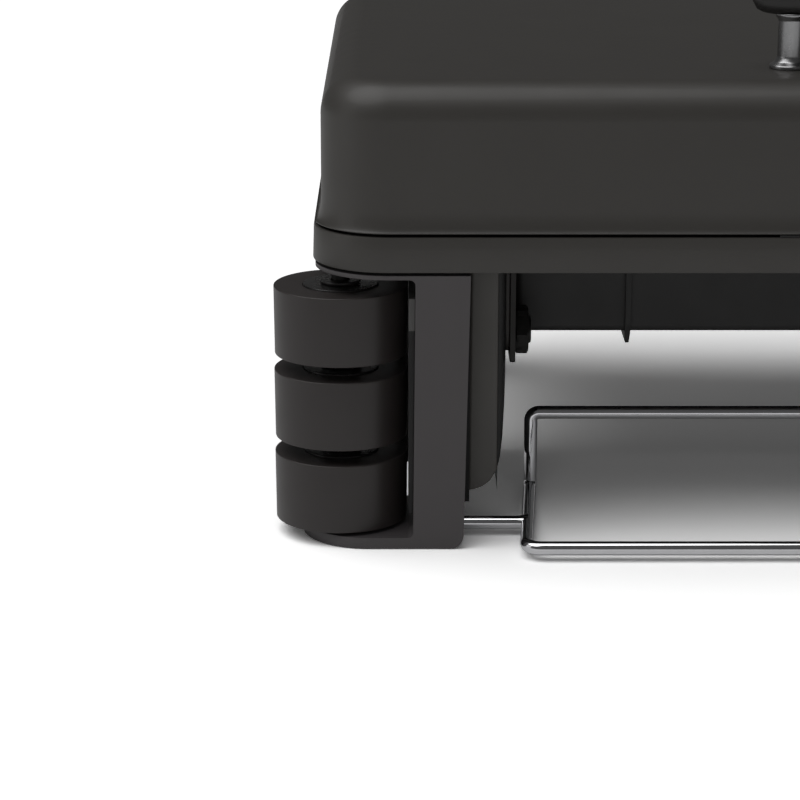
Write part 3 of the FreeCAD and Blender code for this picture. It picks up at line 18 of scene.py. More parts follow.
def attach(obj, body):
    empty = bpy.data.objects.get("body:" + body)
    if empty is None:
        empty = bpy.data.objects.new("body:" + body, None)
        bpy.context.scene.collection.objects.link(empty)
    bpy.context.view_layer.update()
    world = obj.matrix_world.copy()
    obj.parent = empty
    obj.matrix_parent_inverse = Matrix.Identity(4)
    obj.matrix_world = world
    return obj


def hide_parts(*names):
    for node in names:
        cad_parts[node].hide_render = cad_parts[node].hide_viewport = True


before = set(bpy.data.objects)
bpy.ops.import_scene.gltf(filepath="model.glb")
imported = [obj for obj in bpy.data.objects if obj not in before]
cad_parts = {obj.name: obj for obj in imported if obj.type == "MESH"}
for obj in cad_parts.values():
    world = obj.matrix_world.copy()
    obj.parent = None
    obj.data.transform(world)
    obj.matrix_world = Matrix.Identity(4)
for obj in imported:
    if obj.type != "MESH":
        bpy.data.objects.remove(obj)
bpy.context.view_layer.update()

MM = 0.001
LOG = logging.getLogger("griddle")

Ring = list[tuple[float, float, float]]


# ------------------------------------------------------------------ colour and nodes
def linear(code: str) -> tuple[float, float, float, float]:
    """Turn an sRGB hex colour into a linear colour with full alpha.

    Args:
        code: Six hex digits after a hash sign.

    Returns:
        Red, green, blue and alpha for a shader socket.
    """
    channels = []
    for start in (1, 3, 5):
        value = int(code[start:start + 2], 16) / 255.0
        channels.append(value / 12.92 if value <= 0.04045 else ((value + 0.055) / 1.055) ** 2.4)
    return (channels[0], channels[1], channels[2], 1.0)


def add_node(tree: bpy.types.NodeTree, kind: str, settings: dict[str, Any] | None = None,
             links: dict[str, bpy.types.NodeSocket] | None = None) -> bpy.types.Node:
    """Add one node with its settings and links.

    Args:
        tree: The node tree that takes the node.
        kind: Blender's name of the node type.
        settings: Node attributes, or input values where the key is an input's name.
        links: Sockets that feed the node's inputs, by input name.

    Returns:
        The new node.
    """
    node = tree.nodes.new(kind)
    for key, value in (settings or {}).items():
        if key in node.inputs:
            node.inputs[key].default_value = value
        else:
            setattr(node, key, value)
    for key, socket in (links or {}).items():
        tree.links.new(socket, node.inputs[key])
    return node


class Grain(Enum):
    """How a surface was made, which sets the pattern of its bump."""

    SMOOTH = "smooth"
    POWDER = "powder"
    MOULDED = "moulded"
    BRUSHED_X = "brushed along X"
    BRUSHED_Z = "brushed along Z"
    CAST = "cast"


@dataclass(frozen=True)
class Finish:
    """One real material with the way its surface was made.

    A finish mixes two near colours by a slow cloud, varies the roughness by a second cloud, and lays a
    fine bump of the stated grain over the surface.
    """

    name: str
    colour: str
    second: str
    roughness: float
    metallic: float = 0.0
    spread: float = 0.06
    grain: Grain = Grain.SMOOTH
    grain_mm: float = 0.6
    bump: float = 0.1
    cloud_mm: float = 45.0
    coat: float = 0.0
    ior: float = 1.5
    # Near-black colour painted below a height as painted shade; none when empty.
    painted_shade_colour: str = ""
    painted_shade_below_mm: float = 0.0

    def stretch(self) -> tuple[float, float, float]:
        """Scale of the grain along each axis, so that brushing runs in lines."""
        fine = 1.0 / (self.grain_mm * MM)
        long = fine / 40.0
        if self.grain is Grain.BRUSHED_X:
            return (long, fine, fine)
        if self.grain is Grain.BRUSHED_Z:
            return (fine, fine, long)
        return (fine, fine, fine)

    def build(self) -> bpy.types.Material:
        """Make the node material, once for each finish.

        Returns:
            The material, shared by all pieces of this finish.
        """
        known = bpy.data.materials.get(self.name)
        if known is not None:
            return known
        material = bpy.data.materials.new(self.name)
        material.use_nodes = True
        tree = material.node_tree
        tree.nodes.clear()
        place = add_node(tree, "ShaderNodeTexCoord")
        cloud = add_node(tree, "ShaderNodeTexNoise", {"Scale": 1.0 / (self.cloud_mm * MM), "Detail": 4.0},
                         {"Vector": place.outputs["Object"]})
        tint = add_node(tree, "ShaderNodeMix", {"data_type": "RGBA"}, {"Factor": cloud.outputs["Fac"]})
        tint.inputs[6].default_value = linear(self.colour)
        tint.inputs[7].default_value = linear(self.second)
        smear = add_node(tree, "ShaderNodeTexNoise", {"Scale": 2.7 / (self.cloud_mm * MM), "Detail": 6.0},
                         {"Vector": place.outputs["Object"]})
        low = max(self.roughness - self.spread, 0.02)
        high = min(self.roughness + self.spread, 1.0)
        rough = add_node(tree, "ShaderNodeMapRange", {"To Min": low, "To Max": high},
                         {"Value": smear.outputs["Fac"]})
        # Painted shade below a height, where the finish asks for it.
        colour = self.add_painted_shade(tree, place, tint.outputs[2]) if self.painted_shade_colour else tint.outputs[2]
        shader = add_node(tree, "ShaderNodeBsdfPrincipled",
                          {"Metallic": self.metallic, "IOR": self.ior, "Coat Weight": self.coat},
                          {"Base Color": colour, "Roughness": rough.outputs["Result"]})
        if self.grain is not Grain.SMOOTH:
            self.add_grain(tree, place, shader)
        add_node(tree, "ShaderNodeOutputMaterial", {}, {"Surface": shader.outputs["BSDF"]})
        return material

    def add_painted_shade(self, tree: bpy.types.NodeTree, place: bpy.types.Node,
                       colour: bpy.types.NodeSocket) -> bpy.types.NodeSocket:
        """Paint a near-black colour below a height, as painted shade.

        Args:
            tree: The material's node tree.
            place: The texture coordinate node.
            colour: The colour above that height.

        Returns:
            The colour of both parts.
        """
        parts = add_node(tree, "ShaderNodeSeparateXYZ", {}, {"Vector": place.outputs["Object"]})
        above = add_node(tree, "ShaderNodeMath", {"operation": "GREATER_THAN"})
        tree.links.new(parts.outputs["Z"], above.inputs[0])
        above.inputs[1].default_value = self.painted_shade_below_mm * MM
        both = add_node(tree, "ShaderNodeMix", {"data_type": "RGBA"}, {"Factor": above.outputs[0]})
        both.inputs[6].default_value = linear(self.painted_shade_colour)
        tree.links.new(colour, both.inputs[7])
        return both.outputs[2]

    def add_grain(self, tree: bpy.types.NodeTree, place: bpy.types.Node, shader: bpy.types.Node) -> None:
        """Lay the fine bump of the grain over the shader.

        Args:
            tree: The material's node tree.
            place: The texture coordinate node.
            shader: The surface shader that takes the bump.
        """
        scaled = add_node(tree, "ShaderNodeMapping", {"Scale": self.stretch()}, {"Vector": place.outputs["Object"]})
        if self.grain is Grain.MOULDED:
            pattern = add_node(tree, "ShaderNodeTexVoronoi", {"Scale": 1.0}, {"Vector": scaled.outputs["Vector"]})
            height = pattern.outputs["Distance"]
        else:
            pattern = add_node(tree, "ShaderNodeTexNoise", {"Scale": 1.0, "Detail": 3.0},
                               {"Vector": scaled.outputs["Vector"]})
            height = pattern.outputs["Fac"]
        bump = add_node(tree, "ShaderNodeBump", {"Strength": self.bump, "Distance": self.grain_mm * MM * 0.3},
                        {"Height": height})
        tree.links.new(bump.outputs["Normal"], shader.inputs["Normal"])


class Finishes:
    """The griddle's finishes, named for the real material and how its surface was made."""

    # Baked enamel on steel: dark warm grey with a soft sheen and barely any grain.
    enamel = Finish("steel_baked_satin_enamel", "#33312E", "#363431", 0.48, grain=Grain.POWDER, grain_mm=0.9,
                    bump=0.05, coat=0.05)
    # Powder coat on cast aluminium: slightly lighter and cooler, very even, with a fine orange peel.
    powder = Finish("cast_aluminium_powder_coated", "#423F40", "#444142", 0.5, grain=Grain.POWDER, grain_mm=0.7,
                    bump=0.08)
    # Glass-filled nylon, spark-eroded mould: near black, dull, hardly any sheen.
    dial = Finish("nylon_moulded_spark_eroded", "#292524", "#2C2827", 0.42, grain=Grain.MOULDED, grain_mm=0.5,
                  bump=0.06)
    # Acetal, turned: smooth and a little glossier, so that its rings catch the light.
    hub = Finish("acetal_turned", "#1B1A1A", "#201F1F", 0.28, cloud_mm=20.0)
    # ABS, moulded and lightly grained: the pod's rounded housing.
    pod = Finish("abs_moulded_light_grain", "#454340", "#494744", 0.45, grain=Grain.MOULDED, grain_mm=0.5, bump=0.06)
    # ABS, moulded: the pod's cover is coloured near black as painted shade of the pod's right side, which turns away
    # from the lamps, so it reads as a dark line.
    cover = Finish("abs_moulded_painted_side_shade", "#0E0E0D", "#121111", 0.5, grain=Grain.MOULDED, grain_mm=0.5, bump=0.06)
    # Polycarbonate strip: pale grey next to the dials, with its part below 93 mm painted near black as painted shade.
    strip = Finish("polycarbonate_moulded_grey_painted_shade", "#5A5958", "#626160", 0.4, cloud_mm=15.0,
                   painted_shade_colour="#0C0B0B", painted_shade_below_mm=93.0)
    # Porcelain enamel on deep-drawn steel: black, slightly glossy, and made darker still as painted shade where the pan
    # sits under the body.
    pan = Finish("steel_porcelain_enamel_black_painted_shade", "#0D0C0B", "#100F0E", 0.55, grain=Grain.POWDER, grain_mm=1.2,
                 bump=0.06)
    # Black-oxide steel: dark metal with a dull gleam on its facets.
    oxide = Finish("steel_black_oxide", "#1F1E1D", "#2A2928", 0.34, metallic=0.75, grain=Grain.CAST, grain_mm=0.4,
                   bump=0.05, cloud_mm=8.0)
    # Chromium plate on steel wire: a clean mirror with faint drawing lines.
    chrome = Finish("steel_wire_chromium_plated", "#E2E2E4", "#D8D8DB", 0.06, metallic=1.0, spread=0.03,
                    cloud_mm=12.0)
    # Painted steel plate: the lugs, a little lighter than the oxide parts.
    lug = Finish("steel_plate_painted", "#3A3735", "#3E3B39", 0.45, grain=Grain.POWDER, grain_mm=0.6, bump=0.06)
    # EPDM rubber, moulded: dead black and matt.
    rubber = Finish("epdm_rubber_moulded", "#131212", "#181717", 0.75, grain=Grain.MOULDED, grain_mm=0.4, bump=0.1)
    # Silicone, extruded: brick red and soft.
    silicone = Finish("silicone_extruded_red", "#7A3024", "#83372A", 0.55, cloud_mm=20.0)
    # Cast aluminium with a sprayed non-stick coating: black with fine mica speckle.
    non_stick = Finish("cast_aluminium_non_stick", "#1C1B1B", "#262525", 0.36, grain=Grain.CAST, grain_mm=0.5,
                       bump=0.14)
    # Aluminised steel sheet: bright with rolling lines.
    bright = Finish("steel_sheet_aluminised", "#B9B9BB", "#A9A9AB", 0.26, metallic=1.0, grain=Grain.BRUSHED_X,
                    grain_mm=0.3, bump=0.05)
    # Nickel alloy tube after heating: brown-grey oxide.
    sheath = Finish("nickel_alloy_tube_oxidised", "#57504A", "#6B5D4E", 0.42, metallic=0.9, cloud_mm=18.0)
    # Zinc-plated steel: pale blue-grey.
    zinc = Finish("steel_zinc_plated", "#A8ABAE", "#9A9DA0", 0.3, metallic=1.0, cloud_mm=10.0)
    # Steatite ceramic, glazed: warm white.
    ceramic = Finish("steatite_glazed", "#DDD6C8", "#E4DED2", 0.22, coat=0.4, cloud_mm=15.0)
    # Glass-epoxy laminate under green solder mask.
    board = Finish("glass_epoxy_solder_mask", "#1D4A2C", "#235434", 0.3, coat=0.3, cloud_mm=6.0)
    # Polyamide, moulded glossy black: switch and inlet.
    switch = Finish("polyamide_moulded_gloss", "#121212", "#171717", 0.22, coat=0.2, cloud_mm=15.0)
    # Polycarbonate, moulded red: the rocker.
    rocker = Finish("polycarbonate_moulded_red", "#8E1F18", "#97251D", 0.2, coat=0.4, cloud_mm=15.0)
    # Brass, nickel plated: the inlet's pins.
    pins = Finish("brass_nickel_plated", "#B8B09E", "#C3BBA8", 0.22, metallic=1.0, cloud_mm=8.0)
    # Enamel on deep-drawn steel: the cup, close to the dials' colour.
    cup = Finish("steel_enamel_dark", "#2F2B2A", "#332F2E", 0.44, grain=Grain.POWDER, grain_mm=0.8, bump=0.06)
    # Stainless steel, turned and brushed: the handle's posts.
    steel = Finish("stainless_steel_brushed", "#A3A3A4", "#989899", 0.28, metallic=1.0, grain=Grain.BRUSHED_Z,
                   grain_mm=0.3, bump=0.06)
    # Phenolic resin, moulded: the handle's grip.
    grip = Finish("phenolic_resin_moulded", "#1B1A19", "#211F1E", 0.4, grain=Grain.MOULDED, grain_mm=0.7, bump=0.08)
    # Steel, black coated: hinges.
    hinge = Finish("steel_black_coated", "#262423", "#2B2928", 0.42, grain=Grain.POWDER, grain_mm=0.6, bump=0.07)


# ------------------------------------------------------------------ mesh helpers
def finish_mesh(mesh: bmesh.types.BMesh, name: str, finish: Finish, body: str,
                smooth_deg: float = 35.0) -> bpy.types.Object:
    """Turn a bmesh into a piece with its finish, riding on a body.

    Args:
        mesh: The finished bmesh; it is freed here.
        name: The piece's name.
        finish: The piece's finish.
        body: The CAD body that carries it.
        smooth_deg: Edges flatter than this are shaded smooth.

    Returns:
        The new object.
    """
    bmesh.ops.remove_doubles(mesh, verts=mesh.verts, dist=1e-7)
    bmesh.ops.recalc_face_normals(mesh, faces=mesh.faces)
    limit = math.radians(smooth_deg)
    for face in mesh.faces:
        face.smooth = True
    for edge in mesh.edges:
        edge.smooth = len(edge.link_faces) == 2 and edge.calc_face_angle(0.0) < limit
    data = bpy.data.meshes.new(name)
    mesh.to_mesh(data)
    mesh.free()
    piece = bpy.data.objects.new(name, data)
    bpy.context.scene.collection.objects.link(piece)
    data.materials.append(finish.build())
    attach(piece, body)
    return piece


def rounded_ring(half_x: float, half_y: float, radius: float, z: float, centre_y: float = 0.0,
                 steps: int = 14) -> Ring:
    """Points of a level rounded rectangle, anticlockwise from above.

    Args:
        half_x: Half the width in millimetres.
        half_y: Half the depth in millimetres.
        radius: Corner radius in millimetres.
        z: Height in millimetres.
        centre_y: Y of the middle in millimetres.
        steps: Divisions of each quarter corner.

    Returns:
        The ring's points in millimetres.
    """
    points = []
    for quarter, (side_x, side_y) in enumerate(((1, 1), (-1, 1), (-1, -1), (1, -1))):
        for step in range(steps + 1):
            angle = math.radians(90.0 * (quarter + step / steps))
            x = side_x * (half_x - radius) + radius * math.cos(angle)
            y = centre_y + side_y * (half_y - radius) + radius * math.sin(angle)
            points.append((x, y, z))
    return points


def arc_levels(start: tuple[float, float], end: tuple[float, float], steps: int, first_up: bool) -> list:
    """Quarter-round run of (inset, height) pairs between two profile points.

    Args:
        start: First (inset, height).
        end: Last (inset, height).
        steps: Number of divisions.
        first_up: True if the curve leaves the start upright and arrives level.

    Returns:
        The pairs from start to end, both included.
    """
    pairs = []
    for step in range(steps + 1):
        angle = math.pi / 2.0 * step / steps
        across, rise = (1.0 - math.cos(angle), math.sin(angle))
        if not first_up:
            across, rise = rise, across
        pairs.append((start[0] + (end[0] - start[0]) * across, start[1] + (end[1] - start[1]) * rise))
    return pairs


def loft(rings: Sequence[Ring], closed: bool = False, cap_first: bool = False, cap_last: bool = False) -> bmesh.types.BMesh:
    """Skin a row of rings that all have the same number of points.

    Args:
        rings: The rings in millimetres.
        closed: True if the last ring joins the first.
        cap_first: True to close the first ring with a face.
        cap_last: True to close the last ring with a face.

    Returns:
        The bmesh in metres.
    """
    mesh = bmesh.new()
    rows = [[mesh.verts.new(Vector(point) * MM) for point in ring] for ring in rings]
    count = len(rows[0])
    pairs = list(zip(rows, rows[1:]))
    if closed:
        pairs.append((rows[-1], rows[0]))
    for low, high in pairs:
        for index in range(count):
            after = (index + 1) % count
            mesh.faces.new((low[index], low[after], high[after], high[index]))
    if cap_first:
        mesh.faces.new(list(reversed(rows[0])))
    if cap_last:
        mesh.faces.new(rows[-1])
    return mesh


def lathe(profile: Sequence[tuple[float, float]], centre: Vector, axis: Vector, segments: int = 96,
          closed: bool = True) -> bmesh.types.BMesh:
    """Turn a profile of (radius, height) pairs about an axis.

    Args:
        profile: Radius and height pairs in millimetres.
        centre: Foot of the axis in millimetres.
        axis: Direction of the heights.
        segments: Divisions of the turn.
        closed: True if the profile's last point joins its first.

    Returns:
        The bmesh in metres.
    """
    turn = Vector((0, 0, 1)).rotation_difference(axis.normalized()).to_matrix()
    rings = []
    for radius, height in profile:
        ring = []
        for step in range(segments):
            angle = 2.0 * math.pi * step / segments
            point = turn @ Vector((radius * math.cos(angle), radius * math.sin(angle), height)) + centre
            ring.append(tuple(point))
        rings.append(ring)
    return loft(rings, closed=closed)


def softened(profile: Sequence[tuple[float, float]], radius: float, steps: int = 4) -> list[tuple[float, float]]:
    """Round every corner of a closed (radius, height) profile by one small radius.

    Args:
        profile: Corner points in millimetres.
        radius: Edge radius in millimetres.
        steps: Divisions of each corner.

    Returns:
        The rounded profile.
    """
    result = []
    count = len(profile)
    for index in range(count):
        corner = Vector(profile[index])
        before = Vector(profile[index - 1]) - corner
        after = Vector(profile[(index + 1) % count]) - corner
        reach = min(radius, before.length * 0.45, after.length * 0.45)
        start = corner + before.normalized() * reach
        end = corner + after.normalized() * reach
        for step in range(steps + 1):
            share = step / steps
            point = start.lerp(corner, share).lerp(corner.lerp(end, share), share)
            result.append((point.x, point.y))
    return result


def bent_path(points: Sequence[Vector], bends: Sequence[float], closed: bool, steps: int = 10) -> list[Vector]:
    """Round the corners of a wire's path by tangent arcs.

    Args:
        points: Corner points in millimetres.
        bends: Bend radius at each corner, in millimetres.
        closed: True if the path is a loop.
        steps: Divisions of each bend.

    Returns:
        The path's points in millimetres.
    """
    result = []
    count = len(points)
    for index, corner in enumerate(points):
        if not closed and index in (0, count - 1):
            result.append(corner.copy())
            continue
        before = (points[index - 1] - corner).normalized()
        after = (points[(index + 1) % count] - corner).normalized()
        bend = bends[index]
        half = before.angle(after) / 2.0
        bisector = (before + after).normalized()
        centre = corner + bisector * (bend / math.sin(half))
        start = corner + before * (bend / math.tan(half)) - centre
        axis = before.cross(after).normalized()
        sweep = math.pi - 2.0 * half
        for step in range(steps + 1):
            result.append(centre + Matrix.Rotation(-sweep * step / steps, 3, axis) @ start)
    return result


def tube(path: Sequence[Vector], radius: float, closed: bool, sides: int = 28) -> bmesh.types.BMesh:
    """Skin a round tube along a path, with its frame carried along without twist.

    Args:
        path: The path's points in millimetres.
        radius: Tube radius in millimetres.
        closed: True if the path is a loop.
        sides: Points round the tube.

    Returns:
        The bmesh in metres.
    """
    count = len(path)
    tangents = []
    for index in range(count):
        before = path[index - 1] if closed or index else path[index]
        after = path[(index + 1) % count] if closed or index < count - 1 else path[index]
        tangents.append((after - before).normalized())
    normal = tangents[0].orthogonal().normalized()
    rings = []
    for index in range(count):
        if index:
            turn = tangents[index - 1].rotation_difference(tangents[index])
            normal = turn @ normal
        side = tangents[index].cross(normal).normalized()
        ring = []
        for step in range(sides):
            angle = 2.0 * math.pi * step / sides
            ring.append(tuple(path[index] + normal * (radius * math.cos(angle)) + side * (radius * math.sin(angle))))
        rings.append(ring)
    if closed:
        rings.append(rings[0])
    return loft(rings, cap_first=not closed, cap_last=not closed)


def dress(node: str, finish: Finish, edge_mm: float = 0.3) -> None:
    """Give a CAD node its finish and soft edges.

    Args:
        node: The CAD node's name.
        finish: Its finish.
        edge_mm: Width of the softened edges in millimetres; none at zero.
    """
    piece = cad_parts[node]
    piece.data.materials.clear()
    piece.data.materials.append(finish.build())
    if edge_mm <= 0:
        return
    weld = piece.modifiers.new("join_faces", "WELD")
    weld.merge_threshold = 1e-6
    merge = piece.modifiers.new("join_flats", "DECIMATE")
    merge.decimate_type = "DISSOLVE"
    merge.angle_limit = math.radians(0.5)
    soft = piece.modifiers.new("soft_edges", "BEVEL")
    soft.width = edge_mm * MM
    soft.segments = 2
    soft.limit_method = "ANGLE"
    soft.angle_limit = math.radians(40.0)
    soft.harden_normals = True


# ------------------------------------------------------------------ sub-assemblies
@dataclass
class Lid:
    """Lid shell with its flared rim, and the handle on top."""

    rim_bottom: float = 136.8
    top: float = 198.8
    half_x: float = 236.4
    half_y: float = 161.4
    corner: float = 28.9
    flare: float = 2.8
    flare_height: float = 10.0
    wall: float = 2.0
    top_round: float = 16.0
    edge: float = 0.5
    post_x: float = 38.0
    handle_y: float = -117.0
    bar_low: float = 220.8
    bar_high: float = 235.8
    bar_half_length: float = 55.0
    bar_half_width: float = 8.0
    body: str = "lid_body"

    def profile(self, shrink: float) -> list[tuple[float, float]]:
        """Side profile of the lid as (outward offset, height) pairs, from the rim to the top.

        Args:
            shrink: How far the surface lies inside the outer one, in millimetres.

        Returns:
            The profile's pairs.
        """
        pairs = arc_levels((self.flare - shrink, self.rim_bottom), (-shrink, self.rim_bottom + self.flare_height),
                           10, False)
        pairs = [(offset, height) for offset, height in pairs]
        pairs += arc_levels((-shrink, self.top - self.top_round), (-self.top_round, self.top - shrink), 14, True)
        return pairs

    def build_shell(self) -> None:
        """Build the lid's outer and inner walls with a small round along the rim."""
        outer = self.profile(0.0)
        inner = self.profile(self.wall)
        low_edge = [(outer[0][0], outer[0][1] + self.edge), (outer[0][0] - self.edge * 0.3, outer[0][1] + self.edge * 0.3),
                    (outer[0][0] - self.edge, outer[0][1]), (inner[0][0] + self.edge, inner[0][1]),
                    (inner[0][0], inner[0][1] + self.edge)]
        pairs = list(reversed(inner[1:])) + list(reversed(low_edge)) + outer[1:]
        rings = [rounded_ring(self.half_x + off, self.half_y + off, max(self.corner + off, 1.0), z) for off, z in pairs]
        shell = finish_mesh(loft(rings, cap_first=True, cap_last=True), "lid_shell_drawn", Finishes.enamel, self.body)
        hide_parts("lid_shell")

    def build_handle(self) -> None:
        """Build the grip bar as a swelling rounded section, and its two turned posts."""
        rings = []
        steps = 48
        middle_z = (self.bar_low + self.bar_high) / 2.0
        for step in range(steps + 1):
            share = -1.0 + 2.0 * step / steps
            x = share * self.bar_half_length
            end = math.sqrt(max(1.0 - abs(share) ** 14, 0.0))
            swell = (0.86 + 0.14 * math.cos(share * math.pi / 2.0)) * max(end, 0.02)
            ring = []
            for index in range(40):
                angle = 2.0 * math.pi * index / 40
                cosine, sine = math.cos(angle), math.sin(angle)
                y = math.copysign(abs(cosine) ** 0.75, cosine) * self.bar_half_width * swell
                z = math.copysign(abs(sine) ** 0.8, sine) * (self.bar_high - self.bar_low) / 2.0 * swell
                ring.append((x, self.handle_y + y, middle_z + z))
            rings.append(ring)
        bar = finish_mesh(loft(rings, cap_first=True, cap_last=True), "handle_grip_moulded", Finishes.grip, self.body)
        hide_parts("handle_bar")
        foot = self.top
        high = self.bar_low + 1.5
        profile = [(2.6, foot), (8.6, foot), (8.6, foot + 1.6), (6.4, foot + 3.0), (5.4, foot + 5.0),
                   (5.4, high - 3.0), (6.6, high - 1.2), (6.6, high), (2.6, high)]
        for side, word in ((-1, "left"), (1, "right")):
            mesh = lathe(softened(profile, 0.5), Vector((side * self.post_x, self.handle_y, 0)), Vector((0, 0, 1)))
            post = finish_mesh(mesh, "handle_post_" + word, Finishes.steel, self.body)
            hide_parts("handle_posts")

    def build(self) -> None:
        """Build the lid's pieces and dress its CAD nodes."""
        self.build_shell()
        self.build_handle()
        dress("lid_liner", Finishes.bright, 0.0)
        dress("handle_screws", Finishes.zinc)
        dress("hinge_arms", Finishes.hinge, 0.5)


@dataclass
class Base:
    """Band round the body, cooking plate, belly pan and heating parts."""

    half_x: float = 240.0
    half_y: float = 165.0
    corner: float = 32.5
    bottom: float = 120.6
    top: float = 135.6
    floor_top: float = 122.1
    draft: float = 0.4
    wall: float = 2.4
    ledge_top: float = 130.0
    ledge_bottom: float = 128.0
    ledge_width: float = 12.0
    edge: float = 0.7
    hole_x: float = 159.0
    hole_front: float = -109.0
    hole_rear: float = 109.0
    pan_half_x: float = 155.0
    pan_front: float = -105.0
    pan_rear: float = 105.0
    pan_bottom: float = 80.3
    pan_sheet: float = 1.2
    pan_corner: float = 6.0
    pan_edge: float = 4.0
    pan_flange: float = 16.0
    body: str = "chassis"

    def wall_ring(self, inset: float, z: float) -> Ring:
        """A level ring that follows the body's outline at an inset."""
        return rounded_ring(self.half_x - inset, self.half_y - inset, self.corner - inset, z)

    def build_band(self) -> None:
        """Build the cast band as one closed skin, with soft upper and lower edges."""
        edge = self.edge
        levels = [(edge, self.bottom), (edge * 0.3, self.bottom + edge * 0.3), (0.0, self.bottom + edge)]
        levels += [(self.draft, self.top - edge), (self.draft + edge * 0.3, self.top - edge * 0.3)]
        levels += [(self.draft + edge, self.top), (self.wall - 0.2, self.top), (self.wall, self.top - 0.2)]
        levels += [(self.wall, self.ledge_top), (self.wall + self.ledge_width, self.ledge_top)]
        levels += [(self.wall + self.ledge_width, self.ledge_bottom), (self.wall, self.ledge_bottom)]
        levels += [(self.wall, self.floor_top)]
        rings = [self.wall_ring(inset, z) for inset, z in levels]
        hole_y = (self.hole_rear + self.hole_front) / 2.0
        half_hole = (self.hole_rear - self.hole_front) / 2.0
        for z in (self.floor_top, self.bottom):
            rings.append(rounded_ring(self.hole_x, half_hole, 1.0, z, hole_y))
        band = finish_mesh(loft(rings, closed=True), "base_band_cast", Finishes.enamel, self.body)
        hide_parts("base_band")

    def build_pan(self) -> None:
        """Build the deep-drawn belly pan with its flange and rounded lower edge."""
        centre = (self.pan_front + self.pan_rear) / 2.0
        half_y = (self.pan_rear - self.pan_front) / 2.0
        flange_top = self.floor_top + self.pan_sheet
        outer = [(-self.pan_flange, self.floor_top), (-1.5, self.floor_top), (-0.4, self.floor_top - 0.5),
                 (0.0, self.floor_top - 1.8)]
        outer += arc_levels((0.0, self.pan_bottom + self.pan_edge), (self.pan_edge, self.pan_bottom), 12, True)
        sheet = self.pan_sheet
        inner = arc_levels((sheet, self.pan_bottom + self.pan_edge), (self.pan_edge, self.pan_bottom + sheet), 12, True)
        inner = list(reversed(inner)) + [(sheet, flange_top - 1.0), (sheet - 0.6, flange_top),
                                         (-self.pan_flange, flange_top)]
        levels = list(reversed(outer)) + list(reversed(inner))
        rings = [
            rounded_ring(self.pan_half_x - inset, half_y - inset, max(self.pan_corner - inset, 1.5), z, centre)
            for inset, z in levels
        ]
        pan = finish_mesh(loft(rings, cap_first=True, cap_last=True), "belly_pan_drawn", Finishes.pan, self.body)
        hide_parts("belly_pan")

    def build(self) -> None:
        """Build the base's pieces and dress its CAD nodes."""
        self.build_band()
        self.build_pan()
        dress("cooking_plate", Finishes.non_stick, 0.8)
        dress("pan_ribs", Finishes.pan, 0.3)
        for node in ("pan_screws", "leg_screws", "spindle_nut"):
            dress(node, Finishes.oxide)
        dress("plate_gasket", Finishes.silicone)
        dress("heat_reflector", Finishes.bright, 0.0)
        dress("heating_element_left", Finishes.sheath, 0.0)
        dress("heating_element_right", Finishes.sheath, 0.0)
        for node in ("element_clips", "terminal_pins", "plate_screws", "drain_spout", "temperature_sensors",
                     "hinge_pins"):
            dress(node, Finishes.zinc)
        dress("terminal_bushes", Finishes.ceramic)
        dress("thermal_fuse", Finishes.ceramic)
        dress("hinge_brackets", Finishes.hinge, 0.4)
        for node in ("lid_bumpers", "leg_gaskets", "pod_gaskets", "foot_pads"):
            dress(node, Finishes.rubber, 0.2)


@dataclass
class Legs:
    """C-shaped front legs and plain rear legs, cast and powder coated."""

    front_edge: float = 0.45
    rear_edge: float = 1.2

    def build(self) -> None:
        """Dress the four legs."""
        for node in ("front_leg_left", "front_leg_right"):
            dress(node, Finishes.powder, self.front_edge)
        for node in ("rear_leg_left", "rear_leg_right"):
            dress(node, Finishes.powder, self.rear_edge)


@dataclass
class DialStack:
    """Three thumbwheel dials on an upright spindle, with their hubs, rings and the sensor strip."""

    centre_x: float = -228.4
    centre_y: float = -135.0
    lowest: float = 6.5
    height: float = 29.8
    gap: float = 6.7
    radius: float = 28.6
    radius_low: float = 28.3
    edge: float = 0.55
    hub_radius: float = 16.0
    hub_proud: float = 0.6
    bore: float = 4.05
    levels: tuple[str, ...] = ("bottom", "middle", "top")

    def build_dial(self, index: int, word: str) -> None:
        """Build one dial's grip and hub.

        Args:
            index: Place of the dial, counted from the lowest.
            word: The dial's name in the stack.
        """
        base = self.lowest + index * (self.height + self.gap)
        top = base + self.height
        seam = self.hub_radius + 0.1
        grip_profile = [(seam, base), (self.radius_low, base), (self.radius, top), (seam, top)]
        centre = Vector((self.centre_x, self.centre_y, 0))
        mesh = lathe(softened(grip_profile, self.edge, 5), centre, Vector((0, 0, 1)), 160)
        grip = finish_mesh(mesh, "dial_grip_" + word, Finishes.dial, "dial_" + word + "_body", 50.0)
        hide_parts("dial_" + word)
        crown = top + self.hub_proud
        hub_profile = [(self.bore, base), (self.hub_radius, base), (self.hub_radius, crown), (self.bore, crown)]
        mesh = lathe(softened(hub_profile, 0.35, 3), centre, Vector((0, 0, 1)), 128)
        hub = finish_mesh(mesh, "dial_hub_turned_" + word, Finishes.hub, "dial_" + word + "_body", 50.0)
        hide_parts("dial_hub_" + word)

    def build(self) -> None:
        """Build the dials and dress what carries them."""
        for index, word in enumerate(self.levels):
            self.build_dial(index, word)
        dress("dial_spindle", Finishes.oxide, 0.0)
        dress("spindle_spacers", Finishes.hub, 0.3)
        dress("sensor_strip", Finishes.strip, 0.4)
        dress("strip_screws", Finishes.oxide, 0.0)


